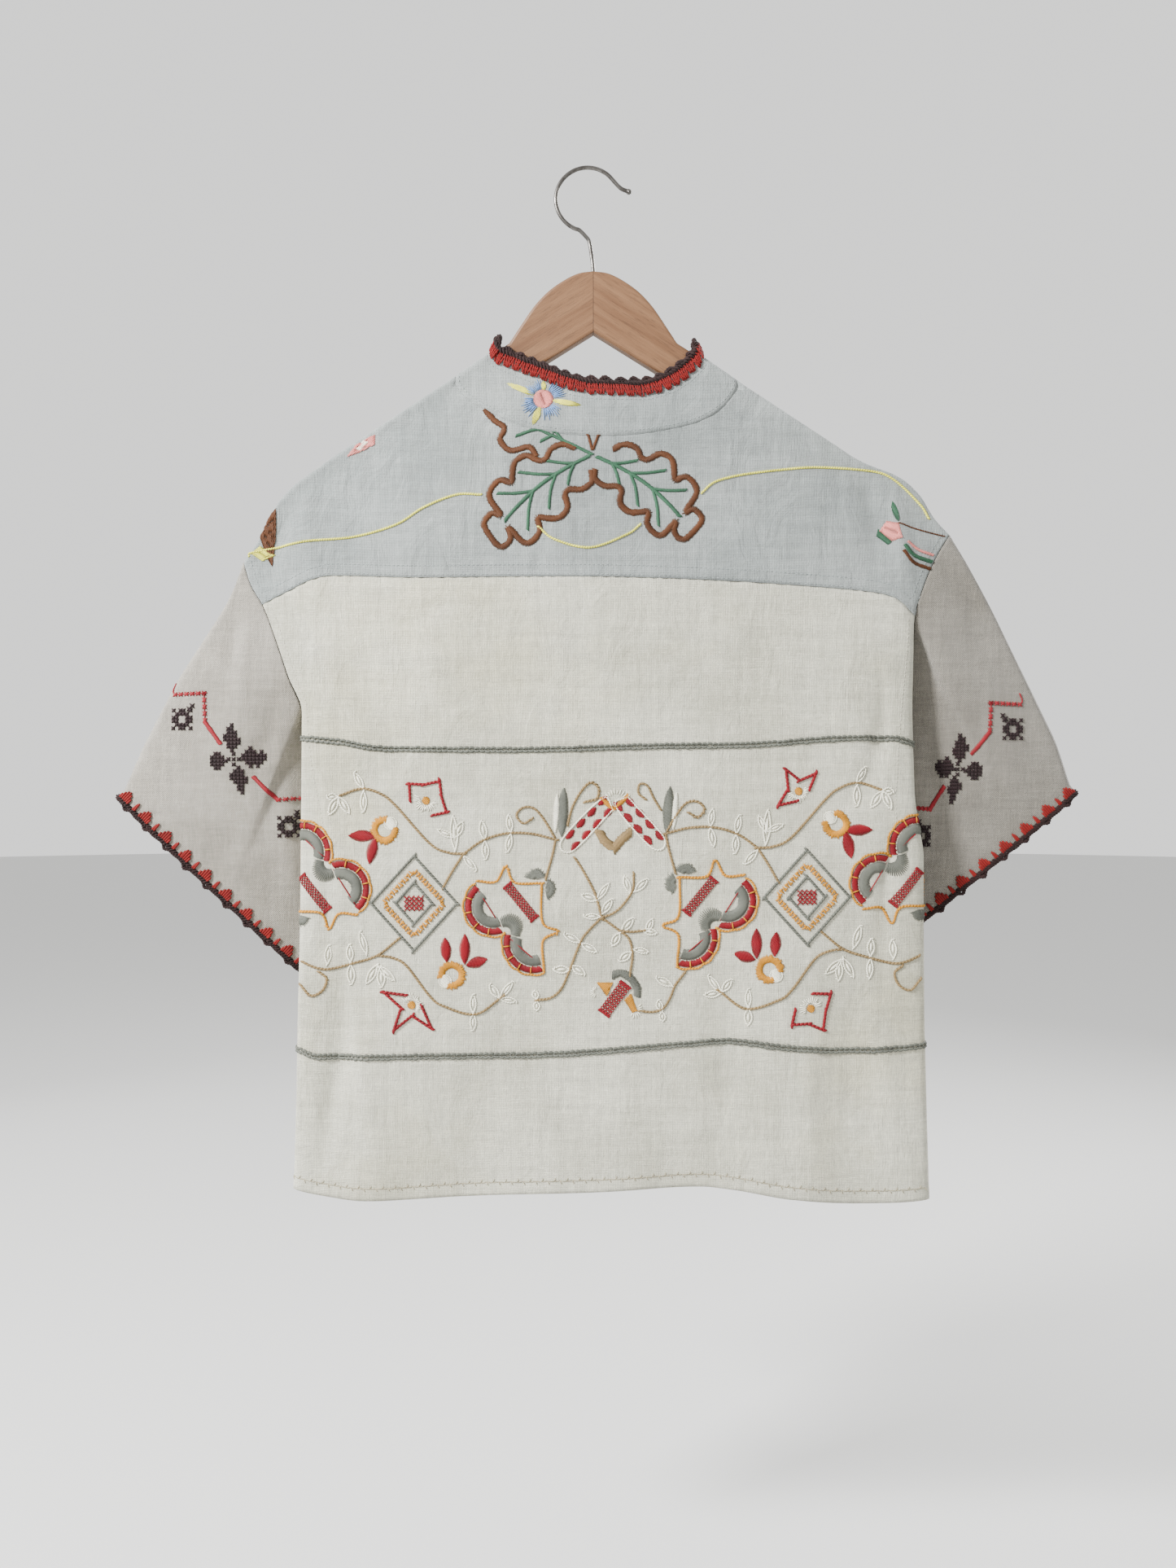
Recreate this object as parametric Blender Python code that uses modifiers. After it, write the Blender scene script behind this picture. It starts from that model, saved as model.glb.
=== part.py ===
"""A short-sleeved top of old embroidered linen on a wooden hanger.

Lengths are metres in Blender. The sizes below are written in millimetres and turned into
metres by MM where the shapes are made. X runs to the right as one faces the garment's back,
-Y points out of the back, +Z is up. The origin is the inside top of the hanger's hook.
"""

import functools
import math

import bmesh
import bpy
import numpy as np
from mathutils import Vector

MM = 0.001

CLOTH_WALL = 1.2
EDGING_WALL = 2.6
SEAM_GAP = 0.4
LAID_GAP = 0.3
ARMHOLE_GAP = 0.6

BODY_MIDDLE = 18.0
RIDGE_RADIUS = 8.6
RIDGE_POWER = 3.0
BODY_BULGE = 26.0
BULGE_LENGTH = 110.0
BULGE_START = 15.0
NOSE_POWER = 8.0
BULGE_POWER = 2.6

HANGER_MIDDLE = 5.0
HANGER_THICK = 13.0
HANGER_EDGE = 2.5
HANGER_SHOULDER_X = 73.0
HANGER_SHOULDER_Z = -153.0
HANGER_SLOPE = 0.657
HANGER_TIP_X = 227.0
HANGER_UNDER_Z = -143.6
HANGER_UNDER_SLOPE = 0.624
HANGER_TOP_Z = -90.4
HANGER_END_ROUND = 11.0
RIDGE_LIFT = 2.6

WIRE_RADIUS = 1.75
HOOK_CENTRE = (0.0, -27.75)
HOOK_RADIUS = 26.0 + WIRE_RADIUS
BORE_DEPTH = 26.0
BORE_CLEARANCE = 0.3

NECK_LEFT = -114.0
NECK_RIGHT = 129.5
SHOULDER_SEAM_DROP = 22.0
FRONT_MIDDLE_TOP = 8.0
FRONT_MIDDLE_HEM = 20.0
HEM_AT_MIDDLE = -885.0
BAND_WIDTH = 30.0
BAND_ROWS = 15
BAND_COLUMNS = 4
COLLAR_END_GAP = 1.5
LEFT_COLLAR_SHARE = 0.52
BUTTON_COUNT = 6
BUTTON_RADIUS = 6.0
BUTTON_THICK = 2.2
FIRST_BUTTON_DROP = 18.0
LAST_BUTTON_Z = -850.0
BUTTON_SEAT = 0.45

SIDE_COLUMNS = 8
NECK_COLUMNS = 10
FRONT_NECK_COLUMNS = 5
SLEEVE_RINGS = 9
NECK_SCALLOPS = 26
CUFF_SCALLOPS = 22
SCALLOP_STEPS = 4
EDGING_HEIGHT = 13.0
CUFF_EDGING_MIDDLE = 7.0
CUFF_EDGING_DEPTH = 10.0
SCALLOP_POWER = 0.6
NECK_SCALLOP_RISE = 3.2
CUFF_SCALLOP_RISE = 2.4


def arm_top(x):
    """Height of the top edge of the hanger's arm."""
    return HANGER_SHOULDER_Z - HANGER_SLOPE * (abs(x - HANGER_MIDDLE) - HANGER_SHOULDER_X)


# Shoulder ridge: x, z of the cloth's outer surface. It lies on the hanger's arms and droops past them.
RIDGE = (
    (-299.0, -342.0),
    (-285.0, -321.5),
    (-271.0, -293.5),
    (-253.0, -274.0),
    (-235.0, -261.0),
    (-222.0, arm_top(-222.0) + RIDGE_LIFT),
    (-205.0, arm_top(-205.0) + RIDGE_LIFT),
    (-115.0, arm_top(-115.0) + RIDGE_LIFT),
    (-55.0, arm_top(-55.0) + RIDGE_LIFT),
    (5.0, -118.0),
    (65.0, arm_top(65.0) + RIDGE_LIFT),
    (125.0, arm_top(125.0) + RIDGE_LIFT),
    (215.0, arm_top(215.0) + RIDGE_LIFT),
    (232.0, arm_top(232.0) + RIDGE_LIFT),
    (245.0, -258.0),
    (271.0, -268.5),
    (289.0, -284.5),
    (301.0, -303.7),
    (314.7, -318.6),
)

# Sides of the body: height, outline x, where the back panel ends before the side fold in degrees
# (negative: past it), where the front ends before the fold, how far the fold stands to the back.
LEFT_SIDE = (
    (-890.0, -253.0, -20.0, 20.0, 10.0),
    (-790.0, -250.5, -20.0, 20.0, 12.0),
    (-680.0, -248.0, -20.0, 20.0, 13.0),
    (-575.0, -246.5, -20.0, 20.0, 13.0),
    (-565.0, -246.3, -18.5, 23.5, 13.0),
    (-545.0, -246.0, -15.0, 27.0, 13.0),
    (-510.0, -246.0, -8.0, 30.0, 12.0),
    (-474.0, -246.5, 0.0, 31.0, 9.0),
    (-444.0, -257.6, 7.0, 30.0, 6.0),
    (-415.0, -267.5, 12.0, 27.0, 3.0),
    (-381.0, -281.0, 16.0, 22.0, 0.0),
    (-363.0, -292.0, 15.0, 18.0, 0.0),
    (-342.0, -299.0, 12.0, 12.0, 0.0),
)
RIGHT_SIDE = (
    (-895.0, 294.0, -20.0, 20.0, 10.0),
    (-790.0, 291.0, -20.0, 20.0, 12.0),
    (-723.0, 289.0, -20.0, 20.0, 13.0),
    (-600.0, 289.0, -20.0, 20.0, 13.0),
    (-575.0, 285.5, -20.0, 20.0, 13.0),
    (-565.0, 283.5, -19.0, 23.5, 13.0),
    (-541.0, 280.7, -17.0, 27.0, 13.0),
    (-479.0, 280.0, -12.0, 31.0, 10.0),
    (-430.0, 281.5, -6.0, 31.0, 7.0),
    (-387.0, 283.6, 4.0, 27.0, 3.0),
    (-370.0, 288.5, 12.0, 24.0, 1.0),
    (-341.0, 301.0, 15.0, 18.0, 0.0),
    (-318.6, 314.7, 12.0, 12.0, 0.0),
)
UNDERARM = -575.0

# Curves across the garment: x, z.
HEM = (
    (-253.0, -882.0),
    (-228.0, -886.0),
    (-191.0, -889.5),
    (-107.0, -885.5),
    (13.0, -881.5),
    (96.0, -877.5),
    (124.0, -880.0),
    (171.0, -887.5),
    (236.0, -892.5),
    (294.0, -891.0),
)
LOWEST_HEM = -890.0
YOKE_SEAM = (
    (-281.0, -381.0),
    (-257.0, -370.0),
    (-235.0, -360.0),
    (-221.0, -357.5),
    (-140.0, -360.0),
    (-17.0, -359.5),
    (63.0, -361.0),
    (145.0, -364.5),
    (179.0, -366.5),
    (248.0, -372.0),
    (264.0, -376.0),
    (282.0, -390.0),
)
NECK_BACK = (
    (-114.0, -190.4),
    (-106.0, -201.0),
    (-89.0, -213.0),
    (-64.0, -226.0),
    (-43.0, -233.0),
    (-16.0, -237.0),
    (12.0, -238.5),
    (39.0, -237.0),
    (69.0, -232.0),
    (93.0, -225.5),
    (111.0, -215.5),
    (124.0, -203.0),
    (129.5, -194.0),
)
NECK_FRONT = (
    (-114.0, -191.0),
    (-108.0, -212.0),
    (-90.0, -240.0),
    (-60.0, -260.0),
    (-25.0, -271.0),
    (8.0, -274.0),
    (40.0, -271.0),
    (72.0, -260.0),
    (102.0, -240.0),
    (122.0, -212.0),
    (129.5, -194.0),
)

# Top of the collar band: share of the way round from the left side, x, y, z.
COLLAR_TOP_BACK = (
    (0.00, -83.0, -8.6, -170.2),
    (0.14, -60.0, -10.0, -180.0),
    (0.27, -38.0, -12.0, -188.0),
    (0.39, -17.0, -14.0, -196.0),
    (0.53, 8.0, -15.0, -201.0),
    (0.73, 46.0, -13.0, -201.5),
    (0.84, 68.0, -11.0, -196.0),
    (0.93, 85.0, -9.6, -186.0),
    (1.00, 98.0, -8.6, -173.6),
)
COLLAR_TOP_FRONT = (
    (0.00, -83.0, 8.6, -170.2),
    (0.12, -74.0, 10.0, -196.0),
    (0.27, -52.0, 12.0, -222.0),
    (0.42, -22.0, 14.0, -238.0),
    (0.52, 8.0, 15.0, -243.0),
    (0.62, 38.0, 14.0, -238.0),
    (0.77, 68.0, 12.0, -222.0),
    (0.90, 88.0, 10.0, -198.0),
    (1.00, 98.0, 8.6, -173.6),
)
COLLAR_SIDE_LEFT = -84.0
COLLAR_SIDE_RIGHT = 99.5

# Soft folds of the body: x at the top, x at the hem, top, half width, depth out of the panel, side.
FOLDS = (
    (-200.0, -226.0, -560.0, 26.0, -3.0, "back"),
    (-150.0, -190.0, -480.0, 34.0, 2.5, "back"),
    (220.0, 236.0, -470.0, 26.0, -3.0, "back"),
    (150.0, 176.0, -520.0, 36.0, 3.0, "back"),
    (60.0, 84.0, -600.0, 40.0, -2.5, "back"),
    (-60.0, -80.0, -560.0, 42.0, -2.0, "back"),
    (-150.0, -175.0, -420.0, 34.0, 4.0, "front"),
    (-70.0, -100.0, -460.0, 36.0, -3.0, "front"),
    (110.0, 130.0, -440.0, 34.0, -3.5, "front"),
    (190.0, 215.0, -420.0, 32.0, 3.5, "front"),
)

# Heights of the rows at the left and the right side.
LOWER_ROWS = (
    (-840.0, -840.0),
    (-780.0, -780.0),
    (-720.0, -720.0),
    (-660.0, -660.0),
    (-615.0, -615.0),
    (UNDERARM, UNDERARM),
)
BACK_ARMHOLE_ROWS = (
    (-565.0, -565.0),
    (-545.0, -543.0),
    (-510.0, -508.0),
    (-474.0, -475.0),
    (-444.0, -444.0),
    (-413.0, -416.0),
)
FRONT_ARMHOLE_ROWS = (
    (-565.0, -565.0),
    (-545.0, -543.0),
    (-510.0, -508.0),
    (-474.0, -472.0),
    (-444.0, -436.0),
    (-413.0, -400.0),
    (-385.0, -368.0),
)
YOKE_ROWS = (0.0, 0.3, 0.6, 0.82, 0.952, 0.9787, 0.9899, 0.998, 1.0)
NECK_ROW = 4
OVER_RIDGE_DROPS = (0.35, 1.8, 3.8, RIDGE_RADIUS)
RIDGE_DROPS = OVER_RIDGE_DROPS + (SHOULDER_SEAM_DROP,)

# Sleeves: outer end and inner end of the cuff.
SLEEVES = {
    "left": {"outer": (-404.0, 0.0, -541.0), "inner": (-243.0, 15.0, -698.0)},
    "right": {"outer": (421.0, 0.0, -537.0), "inner": (274.0, 27.0, -666.0)},
}
CUFF_HALF_THICK = 10.5
SLEEVE_SWELL = 5.0
RING_SPACING_POWER = 1.15
PUSH_POWER = 2.5
FLATTENED_POWER = 0.8
# Sleeve outer edge: share of the length, push outwards on the left, on the right.
SLEEVE_PUSH = (
    (0.00, 0.0, 0.0),
    (0.15, -3.5, 3.5),
    (0.35, 0.0, 5.5),
    (0.57, 3.5, 5.5),
    (0.80, 3.0, 5.5),
    (1.00, 0.0, 0.0),
)

LINEN_BLUE = (0.55, 0.60, 0.60, 1.0)
LINEN_CREAM = (0.70, 0.68, 0.58, 1.0)
LINEN_GREIGE = (0.48, 0.44, 0.39, 1.0)
COTTON_RED = (0.35, 0.04, 0.02, 1.0)
BEECH = (0.62, 0.40, 0.24, 1.0)
CHROME = (0.70, 0.68, 0.66, 1.0)
SHELL_PLASTIC = (0.80, 0.77, 0.70, 1.0)


def smooth(rows, column=1):
    """A smooth curve through a table's rows that never overshoots them, by the first column."""
    table = np.array([[row[0], row[column]] for row in rows], dtype=float)
    at, value = table[:, 0], table[:, 1]
    step = np.diff(at)
    rise = np.diff(value) / step
    slope = np.zeros(len(at))
    slope[0], slope[-1] = rise[0], rise[-1]
    for i in range(1, len(at) - 1):
        if rise[i - 1] * rise[i] > 0:
            before, after = 2 * step[i] + step[i - 1], step[i] + 2 * step[i - 1]
            slope[i] = (before + after) / (before / rise[i - 1] + after / rise[i])

    def curve(x):
        x = min(max(x, at[0]), at[-1])
        i = int(min(max(np.searchsorted(at, x) - 1, 0), len(step) - 1))
        t = (x - at[i]) / step[i]
        start = (1 + 2 * t) * (1 - t) ** 2 * value[i] + t * (1 - t) ** 2 * step[i] * slope[i]
        end = t * t * (3 - 2 * t) * value[i + 1] + t * t * (t - 1) * step[i] * slope[i + 1]
        return float(start + end)

    return curve


ridge = smooth(RIDGE)
hem_curve = smooth(HEM)
seam_curve = smooth(YOKE_SEAM)
neck_back = smooth(NECK_BACK)
neck_front = smooth(NECK_FRONT)
SIDES = {
    -1: [smooth(LEFT_SIDE, column) for column in (1, 2, 3, 4)],
    1: [smooth(RIGHT_SIDE, column) for column in (1, 2, 3, 4)],
}


def half_width(hand, z):
    """Distance from the body's middle to its side fold; hand is -1 on the left and 1 on the right."""
    outline, back_turn, _, _ = SIDES[hand]
    return abs(outline(z) - BODY_MIDDLE) / math.cos(math.radians(max(back_turn(z), 0.0)))


def ridge_depth(drop):
    """Distance from the ridge's middle plane to the cloth that lies over a hanger's arm."""
    left = 1 - min(drop, RIDGE_RADIUS) / RIDGE_RADIUS
    return RIDGE_RADIUS * (1 - left**RIDGE_POWER) ** (1 / RIDGE_POWER)


def fold_depth(x, z, side):
    """How far the soft folds lift the panel at a point."""
    lift = 0.0
    for x_top, x_hem, top, width, depth, on in FOLDS:
        if on != side or z > top:
            continue
        down = (top - z) / (top - LOWEST_HEM)
        middle = x_top + (x_hem - x_top) * down
        grown = min(1.0, 1.6 * down)
        lift += depth * grown * math.exp(-(((x - middle) / width) ** 2))
    return lift


def body_y(x, z, side):
    """Depth of the body's outer surface, as the cloth hangs from the ridge; side is back or front."""
    hand = -1 if x < BODY_MIDDLE else 1
    share = min(abs(x - BODY_MIDDLE) / half_width(hand, z), 1.0)
    drop = max(ridge(x) - z, 0.0)
    far = max(drop - RIDGE_RADIUS, 0.0)
    bulge = BODY_BULGE * (1 - math.exp(-far / BULGE_LENGTH)) * (1 - math.exp(-far / BULGE_START))
    nose = max(1 - share**NOSE_POWER, 0.0) ** (1 / NOSE_POWER)
    belly = max(1 - share**BULGE_POWER, 0.0) ** (1 / BULGE_POWER)
    out = ridge_depth(drop) * nose + (bulge + fold_depth(x, z, side)) * belly
    shift = SIDES[hand][3](z) * share**4
    return -shift - out if side == "back" else -shift + out


def body_point(angle, z):
    """Point at an angle round the body: 0 is the middle of the back, -90 and 90 are the side folds."""
    sine = math.sin(math.radians(angle))
    hand = -1 if sine < 0 else 1
    x = BODY_MIDDLE + half_width(hand, z) * sine
    side = "back" if math.cos(math.radians(angle)) >= 0 else "front"
    return np.array([x, body_y(x, z, side), z])


def back_edge(hand, z):
    return hand * (90.0 - SIDES[hand][1](z))


def front_edge(hand, z):
    return hand * (90.0 + SIDES[hand][2](z))


def solve(wrong, low, high):
    """Where a rising function crosses nothing."""
    for _ in range(50):
        middle = 0.5 * (low + high)
        if wrong(middle) > 0:
            high = middle
        else:
            low = middle
    return 0.5 * (low + high)


def height_on(curve, angle_of, low=-900.0, high=-110.0):
    """Height at which a column, whose angle may change with height, meets a curve z(x)."""

    def wrong(z):
        return z - curve(body_point(angle_of(z), z)[0])

    return solve(wrong, low, high)


def column_angles(z_left, z_right):
    """Angles of the back's columns for a row that meets the side edges at these heights."""
    top_left = half_width(-1, ridge(-299.0))
    top_right = half_width(1, ridge(314.7))
    neck_left = math.degrees(math.asin((NECK_LEFT - BODY_MIDDLE) / top_left))
    neck_right = math.degrees(math.asin((NECK_RIGHT - BODY_MIDDLE) / top_right))
    left = np.linspace(back_edge(-1, z_left), neck_left, SIDE_COLUMNS + 1)
    middle = np.linspace(neck_left, neck_right, NECK_COLUMNS + 1)
    right = np.linspace(neck_right, back_edge(1, z_right), SIDE_COLUMNS + 1)
    return np.concatenate([left, middle[1:], right[1:]])


def column_heights(curve):
    """Heights at which each of the back's columns meets a curve."""
    count = 2 * SIDE_COLUMNS + NECK_COLUMNS
    left = height_on(curve, lambda z: back_edge(-1, z))
    right = height_on(curve, lambda z: back_edge(1, z))
    angles = column_angles(left, right)
    inner = [height_on(curve, lambda z: angles[j]) for j in range(1, count)]
    return [left] + inner + [right]


def shares(rows, low, high):
    """Each row's share of the way between two edge heights, at the left and at the right side."""
    ends = []
    for z_left, z_right in rows:
        left = (z_left - low[0]) / (high[0] - low[0])
        right = (z_right - low[-1]) / (high[-1] - low[-1])
        ends.append((left, right))
    return ends


@functools.cache
def back_grid():
    """Rows of points from the hem to the yoke seam."""
    low = column_heights(hem_curve)
    high = column_heights(seam_curve)
    ends = [(0.0, 0.0)] + shares(LOWER_ROWS + BACK_ARMHOLE_ROWS, low, high) + [(1.0, 1.0)]
    count = len(low) - 1
    grid = []
    for left, right in ends:
        row = []
        z_left = low[0] + left * (high[0] - low[0])
        z_right = low[-1] + right * (high[-1] - low[-1])
        angles = column_angles(z_left, z_right)
        for j in range(count + 1):
            share = left + (right - left) * j / count
            row.append(body_point(angles[j], low[j] + share * (high[j] - low[j])))
        grid.append(row)
    return grid


@functools.cache
def yoke_rows():
    """Rows from the yoke seam up to the ridge; the neck's columns stop at the neckline."""
    low = column_heights(seam_curve)
    high = column_heights(ridge)
    neck_from, neck_to = SIDE_COLUMNS, SIDE_COLUMNS + NECK_COLUMNS
    angles = column_angles(high[0], high[-1])
    for j in range(neck_from + 1, neck_to):
        high[j] = height_on(neck_back, lambda z: angles[j])
    grid = []
    for index, share in enumerate(YOKE_ROWS):
        row = []
        z_left = low[0] + share * (high[0] - low[0])
        z_right = low[-1] + share * (high[-1] - low[-1])
        angles = column_angles(z_left, z_right)
        for j in range(len(low)):
            in_neck = neck_from < j < neck_to
            if in_neck and index > NECK_ROW:
                row.append(None)
                continue
            part = share / YOKE_ROWS[NECK_ROW] if in_neck else share
            row.append(body_point(angles[j], low[j] + part * (high[j] - low[j])))
        grid.append(row)
    return grid


@functools.cache
def yoke_front_row(hand, drop):
    """Points from the armhole to the neck on the front side of the ridge, this far below it."""
    z = height_on(lambda x: ridge(x) - drop, lambda height: front_edge(hand, height))
    outer = body_point(front_edge(hand, z), z)[0]
    neck = NECK_LEFT if hand < 0 else NECK_RIGHT
    if drop > RIDGE_RADIUS:
        inner = solve(
            lambda x: -(neck_front(neck - hand * x) - ridge(neck - hand * x) + drop), 0.0, 30.0
        )
        neck -= hand * inner
    over = yoke_rows()[-1]
    over = over[: SIDE_COLUMNS + 1] if hand < 0 else over[: -SIDE_COLUMNS - 2 : -1]
    row = []
    for j in range(SIDE_COLUMNS + 1):
        share = (over[j][0] - over[0][0]) / (over[-1][0] - over[0][0])
        x = outer + (neck - outer) * share
        height = z if j == 0 else ridge(x) - drop
        row.append(np.array([x, body_y(x, height, "front"), height]))
    return row


@functools.cache
def front_grid(hand):
    """Rows of a front panel from the hem to the shoulder seam and the neckline."""
    shoulder = yoke_front_row(hand, SHOULDER_SEAM_DROP)
    neck_x = shoulder[-1][0]
    top = list(shoulder)
    for j in range(1, FRONT_NECK_COLUMNS + 1):
        x = neck_x + (FRONT_MIDDLE_TOP - neck_x) * j / FRONT_NECK_COLUMNS
        z = neck_front(x)
        top.append(np.array([x, body_y(x, z, "front"), z]))
    ways = [(p[0] - top[0][0]) / (top[-1][0] - top[0][0]) for p in top]
    low_edge = height_on(hem_curve, lambda z: front_edge(hand, z))
    side = 0 if hand < 0 else 1
    heights = [low_edge] + [row[side] for row in LOWER_ROWS + FRONT_ARMHOLE_ROWS]
    grid = []
    for z_edge in heights:
        x_edge = body_point(front_edge(hand, z_edge), z_edge)[0]
        share = (z_edge - low_edge) / (top[0][2] - low_edge)
        row = []
        for j, way in enumerate(ways):
            x = x_edge + (FRONT_MIDDLE_HEM - x_edge) * way
            z_hem = low_edge if j == 0 else hem_curve(x)
            z = z_hem + share * (top[j][2] - z_hem)
            x_middle = front_middle(z)
            x = x_edge + (x_middle - x_edge) * way
            if j == 0:
                row.append(body_point(front_edge(hand, z_edge), z_edge))
            else:
                row.append(np.array([x, body_y(x, z, "front"), z]))
        grid.append(row)
    grid.append(top)
    return grid


def front_middle(z):
    """The line where the two fronts meet, under the button band."""
    share = (z - neck_front(FRONT_MIDDLE_TOP)) / (HEM_AT_MIDDLE - neck_front(FRONT_MIDDLE_TOP))
    return FRONT_MIDDLE_TOP + (FRONT_MIDDLE_HEM - FRONT_MIDDLE_TOP) * share


def pulled(point, towards, amount):
    step = towards - point
    return point + step * (amount / np.linalg.norm(step))


def mesh_object(name, points, faces, material, collection):
    mesh = bpy.data.meshes.new(name)
    mesh.from_pydata([Vector(p) * MM for p in points], [], faces)
    obj = bpy.data.objects.new(name, mesh)
    mesh.materials.append(material)
    collection.objects.link(obj)
    return obj


def thicken(obj, wall):
    """Gives an open surface its wall, inwards from the surface that is seen."""
    solid = obj.modifiers.new("Wall", "SOLIDIFY")
    solid.thickness = wall * MM
    solid.offset = -1.0
    obj.data.shade_smooth()
    return obj


def face_outwards(obj, inside):
    """Turns the faces so that they look away from a point inside the garment."""
    work = bmesh.new()
    work.from_mesh(obj.data)
    bmesh.ops.recalc_face_normals(work, faces=work.faces)
    work.faces.ensure_lookup_table()
    total = 0.0
    for face in work.faces:
        away = face.calc_center_median() - Vector(inside) * MM
        total += face.normal.dot(away) * face.calc_area()
    if total < 0:
        bmesh.ops.reverse_faces(work, faces=work.faces)
    work.to_mesh(obj.data)
    work.free()


def grid_object(name, grid, material, collection, inside, closed=False, wall=CLOTH_WALL):
    """A sheet through rows of points; places without a point stay open."""
    index = {}
    points = []
    for i, row in enumerate(grid):
        for j, point in enumerate(row):
            if point is not None:
                index[i, j] = len(points)
                points.append(point)
    faces = []
    columns = len(grid[0])
    for i in range(len(grid) - 1):
        for j in range(columns if closed else columns - 1):
            after = (j + 1) % columns
            corners = [(i, j), (i, after), (i + 1, after), (i + 1, j)]
            if all(corner in index for corner in corners):
                faces.append([index[corner] for corner in corners])
    obj = mesh_object(name, points, faces, material, collection)
    face_outwards(obj, inside)
    return thicken(obj, wall)


def trimmed(grid, sides):
    """The grid with the named edges drawn in by half a seam gap."""
    half = SEAM_GAP / 2
    out = [list(row) for row in grid]
    for i, row in enumerate(grid):
        places = [j for j, point in enumerate(row) if point is not None]
        if "left" in sides:
            out[i][places[0]] = pulled(out[i][places[0]], row[places[1]], half)
        if "right" in sides:
            out[i][places[-1]] = pulled(out[i][places[-1]], row[places[-2]], half)
    for j in range(len(grid[0])):
        places = [i for i in range(len(grid)) if grid[i][j] is not None]
        if "low" in sides:
            out[places[0]][j] = pulled(out[places[0]][j], grid[places[1]][j], half)
        if "high" in sides:
            out[places[-1]][j] = pulled(out[places[-1]][j], grid[places[-2]][j], half)
    return out


def make_back(material, collection):
    grid = trimmed(back_grid(), ("left", "right", "high"))
    return grid_object("back", grid, material, collection, (BODY_MIDDLE, 0.0, -600.0))


def make_yoke(material, collection):
    """Back shoulders with a strip over each shoulder ridge, round the neck opening."""
    rows = yoke_rows()
    fronts = {hand: [yoke_front_row(hand, drop) for drop in RIDGE_DROPS] for hand in (-1, 1)}
    grid = [list(row) for row in rows]
    gap_columns = [None] * (NECK_COLUMNS - 1)
    for k in range(len(RIDGE_DROPS)):
        grid.append(fronts[-1][k] + gap_columns + fronts[1][k][::-1])
    return grid_object(
        "yoke", trimmed(grid, ("left", "right", "low", "high")), material, collection, (5.0, 0.0, -330.0)
    )


def make_front(name, hand, material, collection):
    grid = trimmed(front_grid(hand), ("left", "right", "high"))
    return grid_object(name, grid, material, collection, (BODY_MIDDLE, -10.0, -600.0))


def outward_at(x, z, side):
    """Unit vector out of the body's surface."""
    reach = 2.0
    across = body_y(x + reach, z, side) - body_y(x - reach, z, side)
    up = body_y(x, z + reach, side) - body_y(x, z - reach, side)
    sign = -1.0 if side == "back" else 1.0
    normal = np.array([-across / (2 * reach), 1.0, -up / (2 * reach)]) * sign
    return normal / np.linalg.norm(normal)


def make_front_band(material, collection):
    """The button band: laid on both fronts, from the neckline to the hem."""
    grid = []
    lift = CLOTH_WALL + LAID_GAP
    top = neck_front(FRONT_MIDDLE_TOP) - 1.0
    for i in range(BAND_ROWS):
        row = []
        for j in range(BAND_COLUMNS):
            across = (j / (BAND_COLUMNS - 1) - 0.5) * BAND_WIDTH
            low = hem_curve(FRONT_MIDDLE_HEM + across)
            z = low + (top - low) * i / (BAND_ROWS - 1)
            x = front_middle(z) + across
            row.append(np.array([x, body_y(x, z, "front"), z]) + outward_at(x, z, "front") * lift)
        grid.append(row)
    return grid_object("front_band", grid, material, collection, (BODY_MIDDLE, 0.0, -600.0))


def make_button(number, material, collection):
    top = neck_front(FRONT_MIDDLE_TOP) - FIRST_BUTTON_DROP
    z = top + (LAST_BUTTON_Z - top) * number / (BUTTON_COUNT - 1)
    x = front_middle(z)
    out = outward_at(x, z, "front")
    lift = CLOTH_WALL + LAID_GAP + BUTTON_THICK / 2 + BUTTON_SEAT
    place = np.array([x, body_y(x, z, "front"), z]) + out * lift
    work = bmesh.new()
    bmesh.ops.create_cone(
        work,
        cap_ends=True,
        segments=20,
        radius1=BUTTON_RADIUS * MM,
        radius2=BUTTON_RADIUS * MM,
        depth=BUTTON_THICK * MM,
    )
    mesh = bpy.data.meshes.new(f"button_{number + 1}")
    work.to_mesh(mesh)
    work.free()
    mesh.materials.append(material)
    obj = bpy.data.objects.new(mesh.name, mesh)
    obj.location = Vector(place) * MM
    obj.rotation_mode = "QUATERNION"
    obj.rotation_quaternion = Vector((0, 0, 1)).rotation_difference(Vector(out))
    collection.objects.link(obj)
    edge = obj.modifiers.new("Edge", "BEVEL")
    edge.width = 0.5 * MM
    edge.segments = 1
    return obj


def table_point(rows, share):
    return np.array([smooth(rows, column)(share) for column in (1, 2, 3)])


def travelled(points):
    """Each point's share of the way along a line of points."""
    steps = [0.0]
    for before, after in zip(points, points[1:]):
        steps.append(steps[-1] + np.linalg.norm(after - before))
    return [step / steps[-1] for step in steps]


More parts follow.
